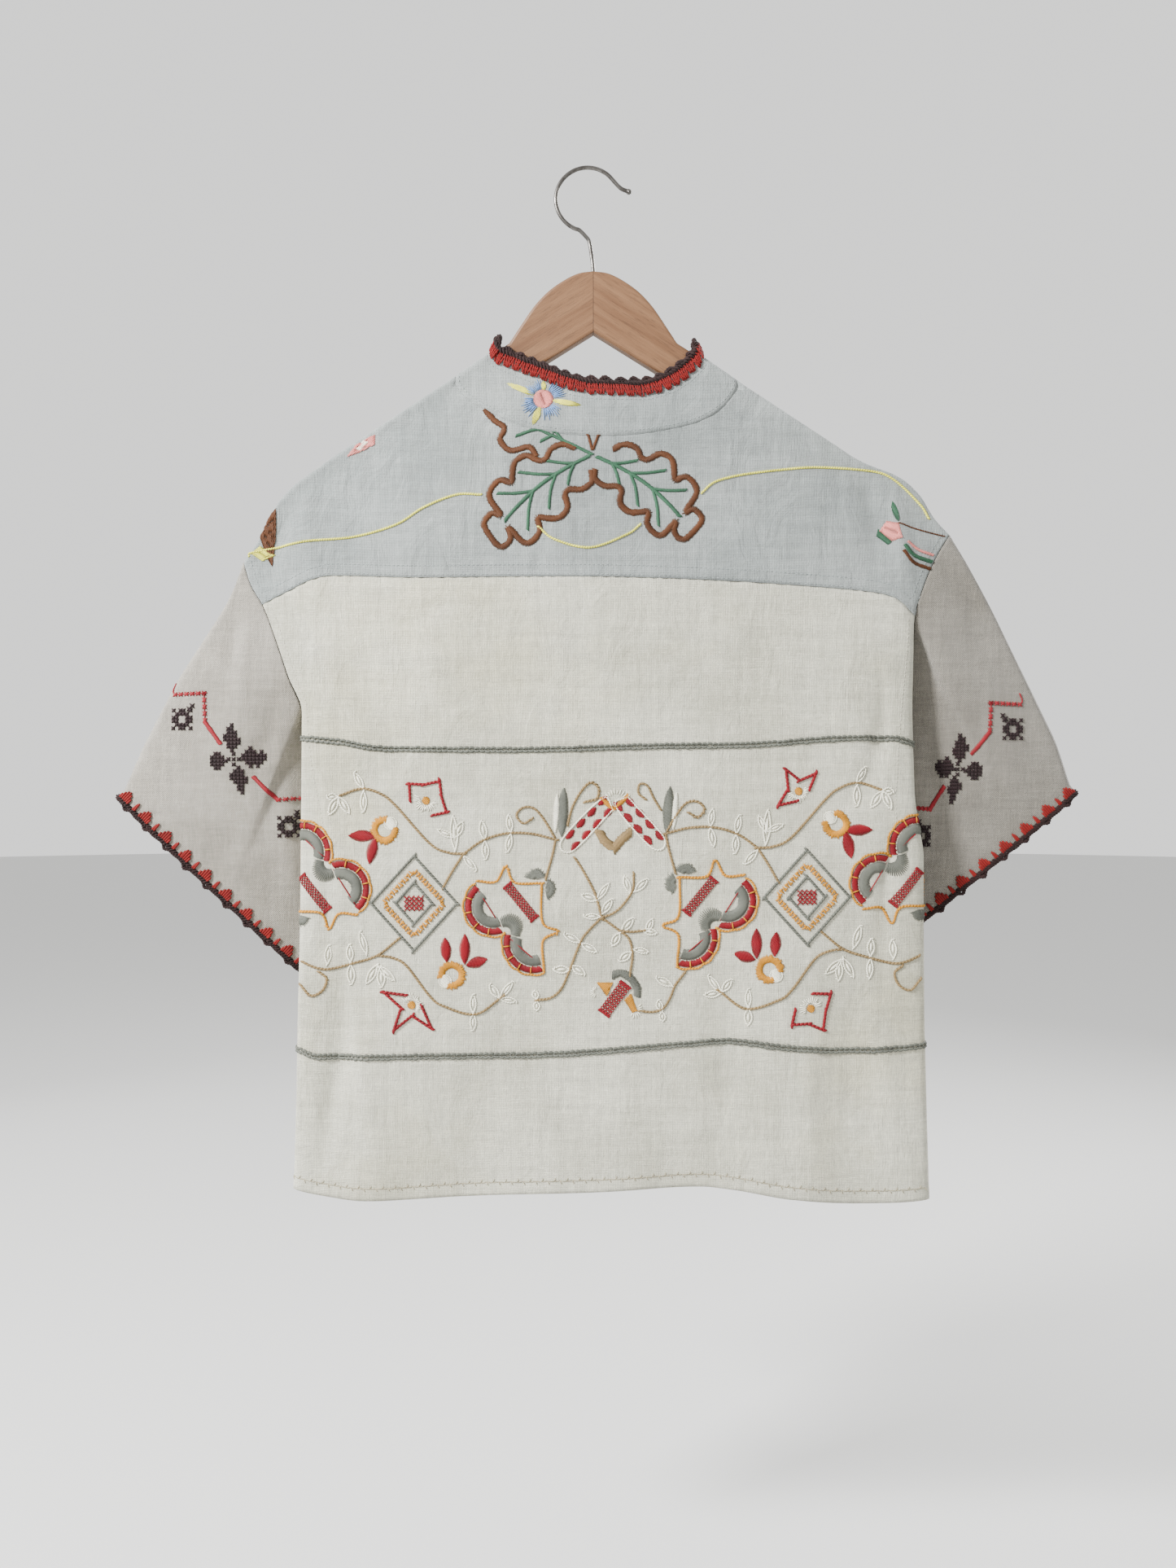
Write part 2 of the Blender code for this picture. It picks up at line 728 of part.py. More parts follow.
def collar_loops():
    """Points of the collar's seam and of its top, from the front middle round the left side and the back."""
    rows = yoke_rows()
    left, right = SIDE_COLUMNS, SIDE_COLUMNS + NECK_COLUMNS
    back_seam = [rows[NECK_ROW][j] for j in range(left, right + 1)]
    seam, top = [], []
    ways = travelled(back_seam)
    for point, way in zip(back_seam, ways):
        seam.append(point)
        top.append(table_point(COLLAR_TOP_BACK, way))
    for hand, column, side_x in ((-1, left, COLLAR_SIDE_LEFT), (1, right, COLLAR_SIDE_RIGHT)):
        over_seam = [rows[i][column] for i in range(NECK_ROW + 1, len(rows))]
        over_top = []
        for drop in OVER_RIDGE_DROPS[2::-1] + (0.0,):
            over_top.append(np.array([side_x, -ridge_depth(drop), ridge(side_x) - drop]))
        for drop in OVER_RIDGE_DROPS:
            over_seam.append(yoke_front_row(hand, drop)[-1])
            over_top.append(np.array([side_x, ridge_depth(drop), ridge(side_x) - drop]))
        front = [yoke_front_row(hand, SHOULDER_SEAM_DROP)[-1]]
        front += front_grid(hand)[-1][SIDE_COLUMNS + 1 :]
        way_in = travelled([over_seam[-1]] + front)[1:]
        for point, way in zip(front, way_in):
            share = way * LEFT_COLLAR_SHARE if hand < 0 else 1.0 - way * (1.0 - LEFT_COLLAR_SHARE)
            over_seam.append(point)
            over_top.append(table_point(COLLAR_TOP_FRONT, share))
        if hand < 0:
            seam = over_seam[::-1] + seam
            top = over_top[::-1] + top
        else:
            seam = seam + over_seam
            top = top + over_top
    return seam, top


def make_collar(material, collection):
    """Stand collar that leans inwards; its two ends meet over the front middle."""
    seam, top = collar_loops()
    start, middle, end = [], [], []
    for low, high in zip(seam, top):
        rise = (high - low) / np.linalg.norm(high - low)
        start.append(low + rise * 1.0)
        middle.append((low + high) / 2 + np.array([0.0, math.copysign(0.6, low[1]), 0.0]))
        end.append(high)
    grid = [start, middle, end]
    for row in grid:
        row[0] = pulled(row[0], row[1], COLLAR_END_GAP)
        row[-1] = pulled(row[-1], row[-2], COLLAR_END_GAP)
    return grid_object("collar_band", grid, material, collection, (5.0, 0.0, -260.0))


def resampled(points, count, closed=False):
    """Evenly spaced points along a line of points."""
    line = [np.array(p) for p in points]
    if closed:
        line.append(line[0])
    ways = travelled(line)
    out = []
    for k in range(count if closed else count + 1):
        way = k / count
        i = min(max(int(np.searchsorted(ways, way)) - 1, 0), len(line) - 2)
        share = (way - ways[i]) / (ways[i + 1] - ways[i])
        out.append(line[i] * (1 - share) + line[i + 1] * share)
    return out


def scallop(k, rise):
    """Height of a round scallop at a step along the edging."""
    return rise * math.sin(math.pi * (k % SCALLOP_STEPS) / SCALLOP_STEPS) ** SCALLOP_POWER


def make_neck_edging(material, collection):
    """Crochet on the collar's top: a thick band with a scalloped upper edge."""
    seam, top = collar_loops()
    count = NECK_SCALLOPS * SCALLOP_STEPS
    raise_by = EDGING_WALL - CLOTH_WALL
    directions, bases = [], []
    for low, high in zip(seam, top):
        along = (high - low) / np.linalg.norm(high - low)
        up = 0.5 * along + np.array([0.0, 0.0, 0.5])
        lean = min(max((abs(high[1]) - 10.0) / 5.0, 0.0), 1.0)
        up[1] = math.copysign(0.19 * lean, -high[1])
        directions.append(up / np.linalg.norm(up))
        side = np.array([0.0, high[1], 0.0])
        steep = min(abs(high[1]) / RIDGE_RADIUS, 1.0)
        flat = math.sqrt(max(1.0 - steep * steep, 0.0))
        out = side / max(abs(high[1]), 1e-6) * steep + np.array([0.0, 0.0, 1.2]) * flat
        bases.append(high + out * raise_by + directions[-1] * (SEAM_GAP + 0.1))
    bases[0] = pulled(bases[0], bases[1], COLLAR_END_GAP)
    bases[-1] = pulled(bases[-1], bases[-2], COLLAR_END_GAP)
    line = resampled(bases, count)
    aims = resampled([b + d for b, d in zip(bases, directions)], count)
    grid = [line, [], []]
    for k, (base, aim) in enumerate(zip(line, aims)):
        up = (aim - base) / np.linalg.norm(aim - base)
        grid[1].append(base + up * EDGING_HEIGHT * 0.6)
        grid[2].append(base + up * (EDGING_HEIGHT + scallop(k, NECK_SCALLOP_RISE)))
    return grid_object(
        "neck_edging", grid, material, collection, (5.0, 0.0, -260.0), wall=EDGING_WALL
    )


def armhole_loop(hand):
    """The armhole's points from the shoulder down the back, round the underarm and up the front."""
    column = 0 if hand < 0 else -1
    yoke = [row[column] for row in yoke_rows()]
    back = [row[column] for row in back_grid()]
    front = [row[0] for row in front_grid(hand)]
    underarm = len(LOWER_ROWS)
    down = yoke[::-1] + back[underarm:-1][::-1]
    up = front[underarm + 1 :]
    for drop in OVER_RIDGE_DROPS[::-1]:
        up.append(yoke_front_row(hand, drop)[0])
    return down, up


def cuff_ring(hand, down, up):
    """The cuff's flattened ring, with one point for each point of the armhole."""
    ends = SLEEVES["left" if hand < 0 else "right"]
    outer, inner = np.array(ends["outer"]), np.array(ends["inner"])
    middle, half = (outer + inner) / 2, (outer - inner) / 2
    ring = []
    ways = [0.5 * way for way in travelled(down)]
    back_up = travelled([down[-1]] + up + [down[0]])[1:-1]
    ways += [0.5 + 0.5 * way for way in back_up]
    for way in ways:
        across = 1 - 4 * way if way <= 0.5 else 4 * way - 3
        thick = math.sqrt(max(1 - across * across, 0.0)) ** FLATTENED_POWER * CUFF_HALF_THICK
        out = np.array([0.0, -thick if way <= 0.5 else thick, 0.0])
        ring.append(middle + half * across + out)
    return ring, ways


def sleeve_grid(hand):
    down, up = armhole_loop(hand)
    loop = down + up
    ring, ways = cuff_ring(hand, down, up)
    push = smooth(SLEEVE_PUSH, 1 if hand < 0 else 2)
    ends = SLEEVES["left" if hand < 0 else "right"]
    slant = np.array(ends["outer"]) - loop[0]
    away = np.array([slant[2], 0.0, -slant[0]])
    away /= np.linalg.norm(away)
    if away[0] * hand < 0:
        away = -away
    rings = []
    for k in range(SLEEVE_RINGS + 1):
        along = (k / SLEEVE_RINGS) ** RING_SPACING_POWER
        row = []
        for start, end, way in zip(loop, ring, ways):
            point = start + (end - start) * along
            outer_share = abs(1 - 2 * way) ** PUSH_POWER
            swell = SLEEVE_SWELL * math.sin(math.pi * along) * math.sin(2 * math.pi * way)
            point = point + away * push(along) * outer_share - np.array([0.0, swell, 0.0])
            row.append(point)
        rings.append(row)
    rings[0] = [pulled(a, b, ARMHOLE_GAP) for a, b in zip(rings[0], rings[1])]
    return rings


def make_sleeve(name, hand, material, collection):
    rings = sleeve_grid(hand)
    middle = np.mean([np.mean(ring, axis=0) for ring in rings], axis=0)
    return grid_object(name, rings, material, collection, middle, closed=True)


def make_cuff_edging(name, hand, material, collection):
    """Crochet round a cuff: a thick ring whose free edge is scalloped."""
    ring = sleeve_grid(hand)[-1]
    count = CUFF_SCALLOPS * SCALLOP_STEPS
    ends = SLEEVES["left" if hand < 0 else "right"]
    width = np.array(ends["inner"]) - np.array(ends["outer"])
    down = np.array([width[2], 0.0, -width[0]]) * (1 if hand < 0 else -1)
    down /= np.linalg.norm(down)
    if down[2] > 0:
        down = -down
    centre = np.mean(ring, axis=0)
    line = []
    for point in resampled(ring, count, closed=True):
        away = point - centre
        away = np.array([away[0] * 0.05, away[1], away[2] * 0.05])
        line.append(point + away / max(np.linalg.norm(away), 1e-6) * (EDGING_WALL - CLOTH_WALL) / 2)
    grid = [[], [], []]
    reach = np.linalg.norm(width) / 2
    for k, base in enumerate(line):
        inner_share = max(np.dot(base - centre, width) / (2 * reach * reach), 0.0)
        grid[0].append(base + down * (SEAM_GAP + 0.2 + 0.9 * inner_share**4))
        grid[1].append(base + down * CUFF_EDGING_MIDDLE)
        grid[2].append(base + down * (CUFF_EDGING_DEPTH + scallop(k, CUFF_SCALLOP_RISE)))
    return grid_object(
        name, grid, material, collection, centre, closed=True, wall=EDGING_WALL
    )


def hanger_outline():
    """Half outline of the hanger from the middle of its top to the middle of its underside."""
    dome = [(0.0, 0.0), (12.0, -1.8), (22.0, -7.0), (38.5, -16.0), (52.0, -30.0), (61.0, -43.5)]
    points = [(x, HANGER_TOP_Z + z) for x, z in dome]
    points.append((HANGER_SHOULDER_X, HANGER_SHOULDER_Z))
    arm_end = HANGER_TIP_X - HANGER_END_ROUND
    top_end = HANGER_SHOULDER_Z - HANGER_SLOPE * (arm_end - HANGER_SHOULDER_X)
    low_end = HANGER_UNDER_Z - HANGER_UNDER_SLOPE * arm_end
    middle = (top_end + low_end) / 2
    half = (top_end - low_end) / 2
    points.append((arm_end, top_end))
    for turn in (60, 30, 0, -30, -60):
        angle = math.radians(turn)
        lean = -HANGER_SLOPE * HANGER_END_ROUND * math.cos(angle) * 0.6
        points.append(
            (arm_end + HANGER_END_ROUND * math.cos(angle), middle + half * math.sin(angle) + lean)
        )
    points.append((arm_end, low_end))
    points.append((0.0, HANGER_UNDER_Z))
    return points


def curve_object(name, points, kind, material, collection):
    curve = bpy.data.curves.new(name, "CURVE")
    curve.dimensions = kind
    spline = curve.splines.new("POLY")
    spline.points.add(len(points) - 1)
    for place, point in zip(spline.points, points):
        place.co = (*[value * MM for value in point], 1.0)
    curve.materials.append(material)
    obj = bpy.data.objects.new(name, curve)
    collection.objects.link(obj)
    return obj, curve, spline


def make_hanger(material, collection, cutters):
    """Flat beech hanger, with the hook's bore cut into the top of its dome."""
    half = hanger_outline()
    whole = half + [(-x, z) for x, z in half[-2:0:-1]]
    points = [(HANGER_MIDDLE + x, z, 0.0) for x, z in whole]
    drawn, curve, spline = curve_object("hanger_outline", points, "2D", material, collection)
    spline.use_cyclic_u = True
    curve.fill_mode = "BOTH"
    curve.extrude = (HANGER_THICK / 2 - HANGER_EDGE) * MM
    curve.bevel_depth = HANGER_EDGE * MM
    curve.bevel_resolution = 1
    curve.offset = -HANGER_EDGE * MM
    drawn.rotation_euler = (math.pi / 2, 0.0, 0.0)
    bpy.context.view_layer.update()
    shape = drawn.evaluated_get(bpy.context.evaluated_depsgraph_get())
    mesh = bpy.data.meshes.new_from_object(shape)
    mesh.name = "hanger_wood"
    work = bmesh.new()
    work.from_mesh(mesh)
    bmesh.ops.remove_doubles(work, verts=work.verts, dist=0.01 * MM)
    bmesh.ops.recalc_face_normals(work, faces=work.faces)
    work.to_mesh(mesh)
    work.free()
    obj = bpy.data.objects.new("hanger_wood", mesh)
    obj.matrix_world = drawn.matrix_world
    collection.objects.link(obj)
    bpy.data.objects.remove(drawn)
    radius = (WIRE_RADIUS + BORE_CLEARANCE) * MM
    bpy.ops.mesh.primitive_cylinder_add(
        vertices=16,
        radius=radius,
        depth=2 * BORE_DEPTH * MM,
        location=(HANGER_MIDDLE * MM, 0.0, HANGER_TOP_Z * MM),
    )
    cutter = bpy.context.active_object
    cutter.name = "hook_bore_cutter"
    for owner in list(cutter.users_collection):
        owner.objects.unlink(cutter)
    cutters.objects.link(cutter)
    cutter.hide_render = True
    cutter.display_type = "WIRE"
    bore = obj.modifiers.new("Bore", "BOOLEAN")
    bore.object = cutter
    bore.operation = "DIFFERENCE"
    bore.solver = "EXACT"
    return obj


def hook_route():
    """Centre line of the hook's wire from the bore up, round the bow and out to the tip."""
    stem = [
        (5.0, HANGER_TOP_Z - BORE_DEPTH + 1.0),
        (5.0, -89.0),
        (3.4, -74.0),
        (1.5, -63.0),
        (-1.6, -58.4),
    ]
    route = list(stem)
    for turn in range(262, 27, -13):
        angle = math.radians(turn)
        x = HOOK_CENTRE[0] + HOOK_RADIUS * math.cos(angle)
        z = HOOK_CENTRE[1] + WIRE_RADIUS + HOOK_RADIUS * math.sin(angle)
        route.append((x, z))
    route.append((28.5, -16.0))
    route.append((34.0, -18.6))
    route.append((36.0, -19.4))
    return [(x, 0.0, z) for x, z in route]


def make_hook(material, collection):
    obj, curve, spline = curve_object("hook", hook_route(), "3D", material, collection)
    curve.bevel_depth = WIRE_RADIUS * MM
    curve.bevel_resolution = 2
    curve.use_fill_caps = True
    spline.points[-1].radius = 1.15
    spline.points[-2].radius = 1.35
    return obj


def finish(name, colour, roughness, metallic=0.0):
    material = bpy.data.materials.new(name)
    material.use_nodes = True
    shader = material.node_tree.nodes["Principled BSDF"]
    shader.inputs["Base Color"].default_value = colour
    shader.inputs["Roughness"].default_value = roughness
    shader.inputs["Metallic"].default_value = metallic
    return material


def main():
    for obj in list(bpy.data.objects):
        bpy.data.objects.remove(obj)
    parts = bpy.data.collections.new("embroidered_top")
    cutters = bpy.data.collections.new("cutters")
    bpy.context.scene.collection.children.link(parts)
    bpy.context.scene.collection.children.link(cutters)
    cream = finish("cream linen", LINEN_CREAM, 0.9)
    blue = finish("blue grey linen", LINEN_BLUE, 0.9)
    greige = finish("greige linen", LINEN_GREIGE, 0.9)
    crochet = finish("red crochet", COTTON_RED, 0.95)
    beech = finish("beech", BEECH, 0.5)
    chrome = finish("chromed wire", CHROME, 0.25, 1.0)
    shell = finish("shell plastic", SHELL_PLASTIC, 0.4)
    make_back(cream, parts)
    make_yoke(blue, parts)
    make_front("front_left", -1, cream, parts)
    make_front("front_right", 1, cream, parts)
    make_front_band(cream, parts)
    for number in range(BUTTON_COUNT):
        make_button(number, shell, parts)
    make_collar(blue, parts)
    make_neck_edging(crochet, parts)
    for name, hand in (("left", -1), ("right", 1)):
        make_sleeve(f"sleeve_{name}", hand, greige, parts)
        make_cuff_edging(f"cuff_edging_{name}", hand, crochet, parts)
    make_hanger(beech, parts, cutters)
    make_hook(chrome, parts)


main()
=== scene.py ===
"""Looks of the embroidered top: fine cloth, thread, crochet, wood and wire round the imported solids.

Lengths are millimetres and turned into metres by MM where meshes are made. X runs to the right
as one faces the garment's back, -Y points out of the back, +Z is up. Only the floor's radius and the
lamps' places and sizes are in metres. A hand of -1 is the left side and 1 the right.
"""
import math

import bpy
import numpy as np
from mathutils import Matrix, Vector
from mathutils.bvhtree import BVHTree


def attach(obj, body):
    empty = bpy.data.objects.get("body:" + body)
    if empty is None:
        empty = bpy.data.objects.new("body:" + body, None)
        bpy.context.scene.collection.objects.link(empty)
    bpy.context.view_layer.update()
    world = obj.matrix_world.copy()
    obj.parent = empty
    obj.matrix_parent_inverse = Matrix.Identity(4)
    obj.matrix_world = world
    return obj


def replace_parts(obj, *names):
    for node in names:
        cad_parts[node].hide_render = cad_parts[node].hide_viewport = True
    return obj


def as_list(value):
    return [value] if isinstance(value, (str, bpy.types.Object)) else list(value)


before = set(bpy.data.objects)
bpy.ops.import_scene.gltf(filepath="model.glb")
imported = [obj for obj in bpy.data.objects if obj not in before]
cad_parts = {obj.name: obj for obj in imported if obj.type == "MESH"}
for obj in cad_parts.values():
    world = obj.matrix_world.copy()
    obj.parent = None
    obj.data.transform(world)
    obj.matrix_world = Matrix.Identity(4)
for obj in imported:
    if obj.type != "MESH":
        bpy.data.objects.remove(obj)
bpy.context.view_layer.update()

MM = 0.001
RANDOM = np.random.default_rng(7)

CAMERA_PLACE = (0.4, -1140.0, -536.0)
LENS_MM = 30.0
SENSOR_MM = 36.0
FLOOR_Z = -1300.0
FLOOR_RADIUS = 14.0

CLOTH_WALL = 0.6
BODY_MIDDLE = 18.0
RIDGE_RADIUS = 8.6
RIDGE_POWER = 3.0
BODY_BULGE = 26.0
BULGE_LENGTH = 110.0
BULGE_START = 15.0
NOSE_POWER = 8.0
BULGE_POWER = 2.6
HANGER_MIDDLE = 5.0
HANGER_THICK = 13.0
HANGER_EDGE = 2.5
HANGER_TIP_X = 227.0
HANGER_UNDER_Z = -143.6
HANGER_UNDER_SLOPE = 0.624
HANGER_TOP_Z = -90.4
HANGER_END_ROUND = 11.0
HOOK_RADIUS = 27.75
WIRE_RADIUS = 1.75
BUTTON_COUNT = 6
BUTTON_SIDES = 28
FIRST_BUTTON_DROP = 18.0
LAST_BUTTON_Z = -850.0
HANGER_SHOULDER_X = 73.0
HANGER_SHOULDER_Z = -153.0
HANGER_SLOPE = 0.657
RIDGE_LIFT = 2.6
NECK_LEFT = -114.0
NECK_RIGHT = 129.5
SHOULDER_SEAM_DROP = 22.0
FRONT_MIDDLE_TOP = 8.0
FRONT_MIDDLE_HEM = 20.0
HEM_AT_MIDDLE = -885.0
LOWEST_HEM = -890.0
BAND_WIDTH = 30.0
UNDERARM = -575.0
CUFF_HALF_THICK = 10.5
SLEEVE_SWELL = 5.0
PUSH_POWER = 2.5
FLATTENED_POWER = 0.8
ARMHOLE_GAP = 0.6

# Places inside the garment that its cloth faces away from.
BODY_INSIDE = (BODY_MIDDLE, 0.0, -600.0)
FRONT_INSIDE = (BODY_MIDDLE, -10.0, -600.0)
YOKE_INSIDE = (5.0, 0.0, -330.0)
COLLAR_INSIDE = (5.0, 0.0, -260.0)
COLLAR_SEWING_INSIDE = (5.0, 0.0, -250.0)
EDGING_INSIDE = (5.0, 0.0, -225.0)

HANDS = ((-1, "left"), (1, "right"))
SIDE_NAMES = dict(HANDS)
SIDE_COLUMNS = 44
NECK_COLUMNS = 50
BODY_ROWS = 150
FRONT_ROWS = 84
SLEEVE_COLUMNS = 128
SLEEVE_ROWS = 66
COLLAR_ROWS = 10
CUFF_UNDER = 6.2
NECK_FAN_PITCH = 8.6
NECK_BUMP_PITCH = 12.4
CUFF_BUMP_PITCH = 24.0
CUFF_STEP = 0.9
NECK_UNDER = 10.6
GRAIN_SLOPE = 0.64
ARMHOLE_SEWING = 7.0
HEM_SEWING = 10.5
VINE_WIDTH = 3.0


def arm_top(x):
    """Height of the top edge of the hanger's arm."""
    return HANGER_SHOULDER_Z - HANGER_SLOPE * (abs(x - HANGER_MIDDLE) - HANGER_SHOULDER_X)


# Shoulder ridge: x, z of the cloth's outer surface.
RIDGE = (
    (-299.0, -342.0),
    (-285.0, -321.5),
    (-271.0, -293.5),
    (-253.0, -274.0),
    (-235.0, -261.0),
    (-222.0, arm_top(-222.0) + RIDGE_LIFT),
    (-205.0, arm_top(-205.0) + RIDGE_LIFT),
    (-115.0, arm_top(-115.0) + RIDGE_LIFT),
    (-55.0, arm_top(-55.0) + RIDGE_LIFT),
    (5.0, -118.0),
    (65.0, arm_top(65.0) + RIDGE_LIFT),
    (125.0, arm_top(125.0) + RIDGE_LIFT),
    (215.0, arm_top(215.0) + RIDGE_LIFT),
    (232.0, arm_top(232.0) + RIDGE_LIFT),
    (245.0, -258.0),
    (271.0, -268.5),
    (289.0, -284.5),
    (301.0, -303.7),
    (314.7, -318.6),
)
RIDGE_ENDS = (RIDGE[0][0], RIDGE[-1][0])

# Sides of the body: height, outline x, where the back ends before the side fold in degrees
# (negative: past it), where the front ends before the fold, how far the fold stands to the back.
LEFT_SIDE = (
    (-890.0, -253.0, -20.0, 20.0, 10.0),
    (-790.0, -250.5, -20.0, 20.0, 12.0),
    (-680.0, -248.0, -20.0, 20.0, 13.0),
    (-575.0, -246.5, -20.0, 20.0, 13.0),
    (-565.0, -246.3, -18.5, 23.5, 13.0),
    (-545.0, -246.0, -15.0, 27.0, 13.0),
    (-510.0, -246.0, -8.0, 30.0, 12.0),
    (-474.0, -246.5, 0.0, 31.0, 9.0),
    (-444.0, -257.6, 7.0, 30.0, 6.0),
    (-415.0, -267.5, 12.0, 27.0, 3.0),
    (-381.0, -281.0, 16.0, 22.0, 0.0),
    (-363.0, -292.0, 15.0, 18.0, 0.0),
    (-342.0, -299.0, 12.0, 12.0, 0.0),
)
RIGHT_SIDE = (
    (-895.0, 294.0, -20.0, 20.0, 10.0),
    (-790.0, 291.0, -20.0, 20.0, 12.0),
    (-723.0, 289.0, -20.0, 20.0, 13.0),
    (-600.0, 289.0, -20.0, 20.0, 13.0),
    (-575.0, 285.5, -20.0, 20.0, 13.0),
    (-565.0, 283.5, -19.0, 23.5, 13.0),
    (-541.0, 280.7, -17.0, 27.0, 13.0),
    (-479.0, 280.0, -12.0, 31.0, 10.0),
    (-430.0, 281.5, -6.0, 31.0, 7.0),
    (-387.0, 283.6, 4.0, 27.0, 3.0),
    (-370.0, 288.5, 12.0, 24.0, 1.0),
    (-341.0, 301.0, 15.0, 18.0, 0.0),
    (-318.6, 314.7, 12.0, 12.0, 0.0),
)

# Curves across the garment: x, z.
HEM = (
    (-253.0, -882.0),
    (-228.0, -886.0),
    (-191.0, -889.5),
    (-107.0, -885.5),
    (13.0, -881.5),
    (96.0, -877.5),
    (124.0, -880.0),
    (171.0, -887.5),
    (236.0, -892.5),
    (294.0, -891.0),
)
YOKE_SEAM = (
    (-281.0, -381.0),
    (-257.0, -370.0),
    (-235.0, -360.0),
    (-221.0, -357.5),
    (-140.0, -360.0),
    (-17.0, -359.5),
    (63.0, -361.0),
    (145.0, -364.5),
    (179.0, -366.5),
    (248.0, -372.0),
    (264.0, -376.0),
    (282.0, -390.0),
)
NECK_BACK = (
    (-114.0, -190.4),
    (-106.0, -201.0),
    (-89.0, -213.0),
    (-64.0, -226.0),
    (-43.0, -233.0),
    (-16.0, -237.0),
    (12.0, -238.5),
    (39.0, -237.0),
    (69.0, -232.0),
    (93.0, -225.5),
    (111.0, -215.5),
    (124.0, -203.0),
    (129.5, -194.0),
)
NECK_FRONT = (
    (-114.0, -191.0),
    (-108.0, -212.0),
    (-90.0, -240.0),
    (-60.0, -260.0),
    (-25.0, -271.0),
    (8.0, -274.0),
    (40.0, -271.0),
    (72.0, -260.0),
    (102.0, -240.0),
    (122.0, -212.0),
    (129.5, -194.0),
)

# Top of the collar band: share of the way round from the left side, x, y, z.
COLLAR_TOP_BACK = (
    (0.00, -83.0, -8.6, -170.2),
    (0.14, -60.0, -10.0, -180.0),
    (0.27, -38.0, -12.0, -188.0),
    (0.39, -17.0, -14.0, -196.0),
    (0.53, 8.0, -15.0, -201.0),
    (0.73, 46.0, -13.0, -201.5),
    (0.84, 68.0, -11.0, -196.0),
    (0.93, 85.0, -9.6, -186.0),
    (1.00, 98.0, -8.6, -173.6),
)
COLLAR_TOP_FRONT = (
    (0.00, -83.0, 8.6, -170.2),
    (0.12, -74.0, 10.0, -196.0),
    (0.27, -52.0, 12.0, -222.0),
    (0.42, -22.0, 14.0, -238.0),
    (0.52, 8.0, 15.0, -243.0),
    (0.62, 38.0, 14.0, -238.0),
    (0.77, 68.0, 12.0, -222.0),
    (0.90, 88.0, 10.0, -198.0),
    (1.00, 98.0, 8.6, -173.6),
)
COLLAR_SIDES = {-1: -84.0, 1: 99.5}
LEFT_COLLAR_SHARE = 0.52

# Soft folds that the solids have too: x at the top, x at the hem, top, half width, depth, side.
FOLDS = (
    (-200.0, -226.0, -560.0, 26.0, -3.0, "back"),
    (-150.0, -190.0, -480.0, 34.0, 2.5, "back"),
    (220.0, 236.0, -470.0, 26.0, -3.0, "back"),
    (150.0, 176.0, -520.0, 36.0, 3.0, "back"),
    (60.0, 84.0, -600.0, 40.0, -2.5, "back"),
    (-60.0, -80.0, -560.0, 42.0, -2.0, "back"),
    (-150.0, -175.0, -420.0, 34.0, 4.0, "front"),
    (-70.0, -100.0, -460.0, 36.0, -3.0, "front"),
    (110.0, 130.0, -440.0, 34.0, -3.5, "front"),
    (190.0, 215.0, -420.0, 32.0, 3.5, "front"),
)

# Creases: start x, z, end x, z, half width, depth out of the cloth.
BACK_CREASES = (
    (-238.0, -560.0, -222.0, -690.0, 7.0, -2.2),
    (-226.0, -520.0, -205.0, -640.0, 9.0, 1.6),
    (-214.0, -690.0, -226.0, -880.0, 10.0, -2.0),
    (-150.0, -400.0, -120.0, -470.0, 14.0, 1.2),
    (-186.0, -720.0, -176.0, -885.0, 13.0, 1.6),
    (-96.0, -760.0, -88.0, -884.0, 16.0, -1.2),
    (-20.0, -380.0, 6.0, -480.0, 18.0, -0.9),
    (30.0, -770.0, 44.0, -880.0, 18.0, 1.4),
    (104.0, -700.0, 118.0, -878.0, 15.0, -1.7),
    (150.0, -390.0, 132.0, -500.0, 15.0, -1.0),
    (196.0, -740.0, 188.0, -886.0, 12.0, 1.5),
    (252.0, -440.0, 236.0, -560.0, 9.0, -1.9),
    (262.0, -560.0, 244.0, -720.0, 8.0, -2.1),
    (248.0, -640.0, 256.0, -850.0, 11.0, 1.6),
    (-60.0, -560.0, 40.0, -574.0, 12.0, 0.6),
    (-214.0, -430.0, -150.0, -520.0, 12.0, -1.0),
)
YOKE_CREASES = (
    (-262.0, -300.0, -276.0, -366.0, 8.0, -1.6),
    (-238.0, -276.0, -246.0, -352.0, 10.0, 1.2),
    (-206.0, -262.0, -120.0, -300.0, 9.0, 0.8),
    (-150.0, -330.0, -40.0, -344.0, 10.0, 0.7),
    (60.0, -340.0, 170.0, -334.0, 11.0, -0.6),
    (236.0, -268.0, 256.0, -352.0, 9.0, -1.5),
    (268.0, -286.0, 274.0, -372.0, 8.0, 1.4),
    (150.0, -226.0, 230.0, -300.0, 10.0, 0.7),
)
FRONT_CREASES = (
    (-236.0, -540.0, -214.0, -700.0, 8.0, -2.0),
    (-170.0, -300.0, -120.0, -430.0, 14.0, 1.3),
    (-200.0, -640.0, -190.0, -884.0, 12.0, 1.7),
    (-110.0, -600.0, -122.0, -884.0, 14.0, -1.6),
    (-50.0, -420.0, -58.0, -620.0, 13.0, 1.0),
    (-34.0, -740.0, -40.0, -880.0, 11.0, 1.2),
    (64.0, -330.0, 90.0, -500.0, 14.0, -1.1),
    (80.0, -640.0, 72.0, -880.0, 13.0, 1.5),
    (150.0, -420.0, 168.0, -640.0, 13.0, 1.3),
    (180.0, -700.0, 170.0, -886.0, 12.0, -1.6),
    (248.0, -520.0, 232.0, -700.0, 9.0, -2.0),
    (254.0, -700.0, 262.0, -880.0, 10.0, 1.5),
)
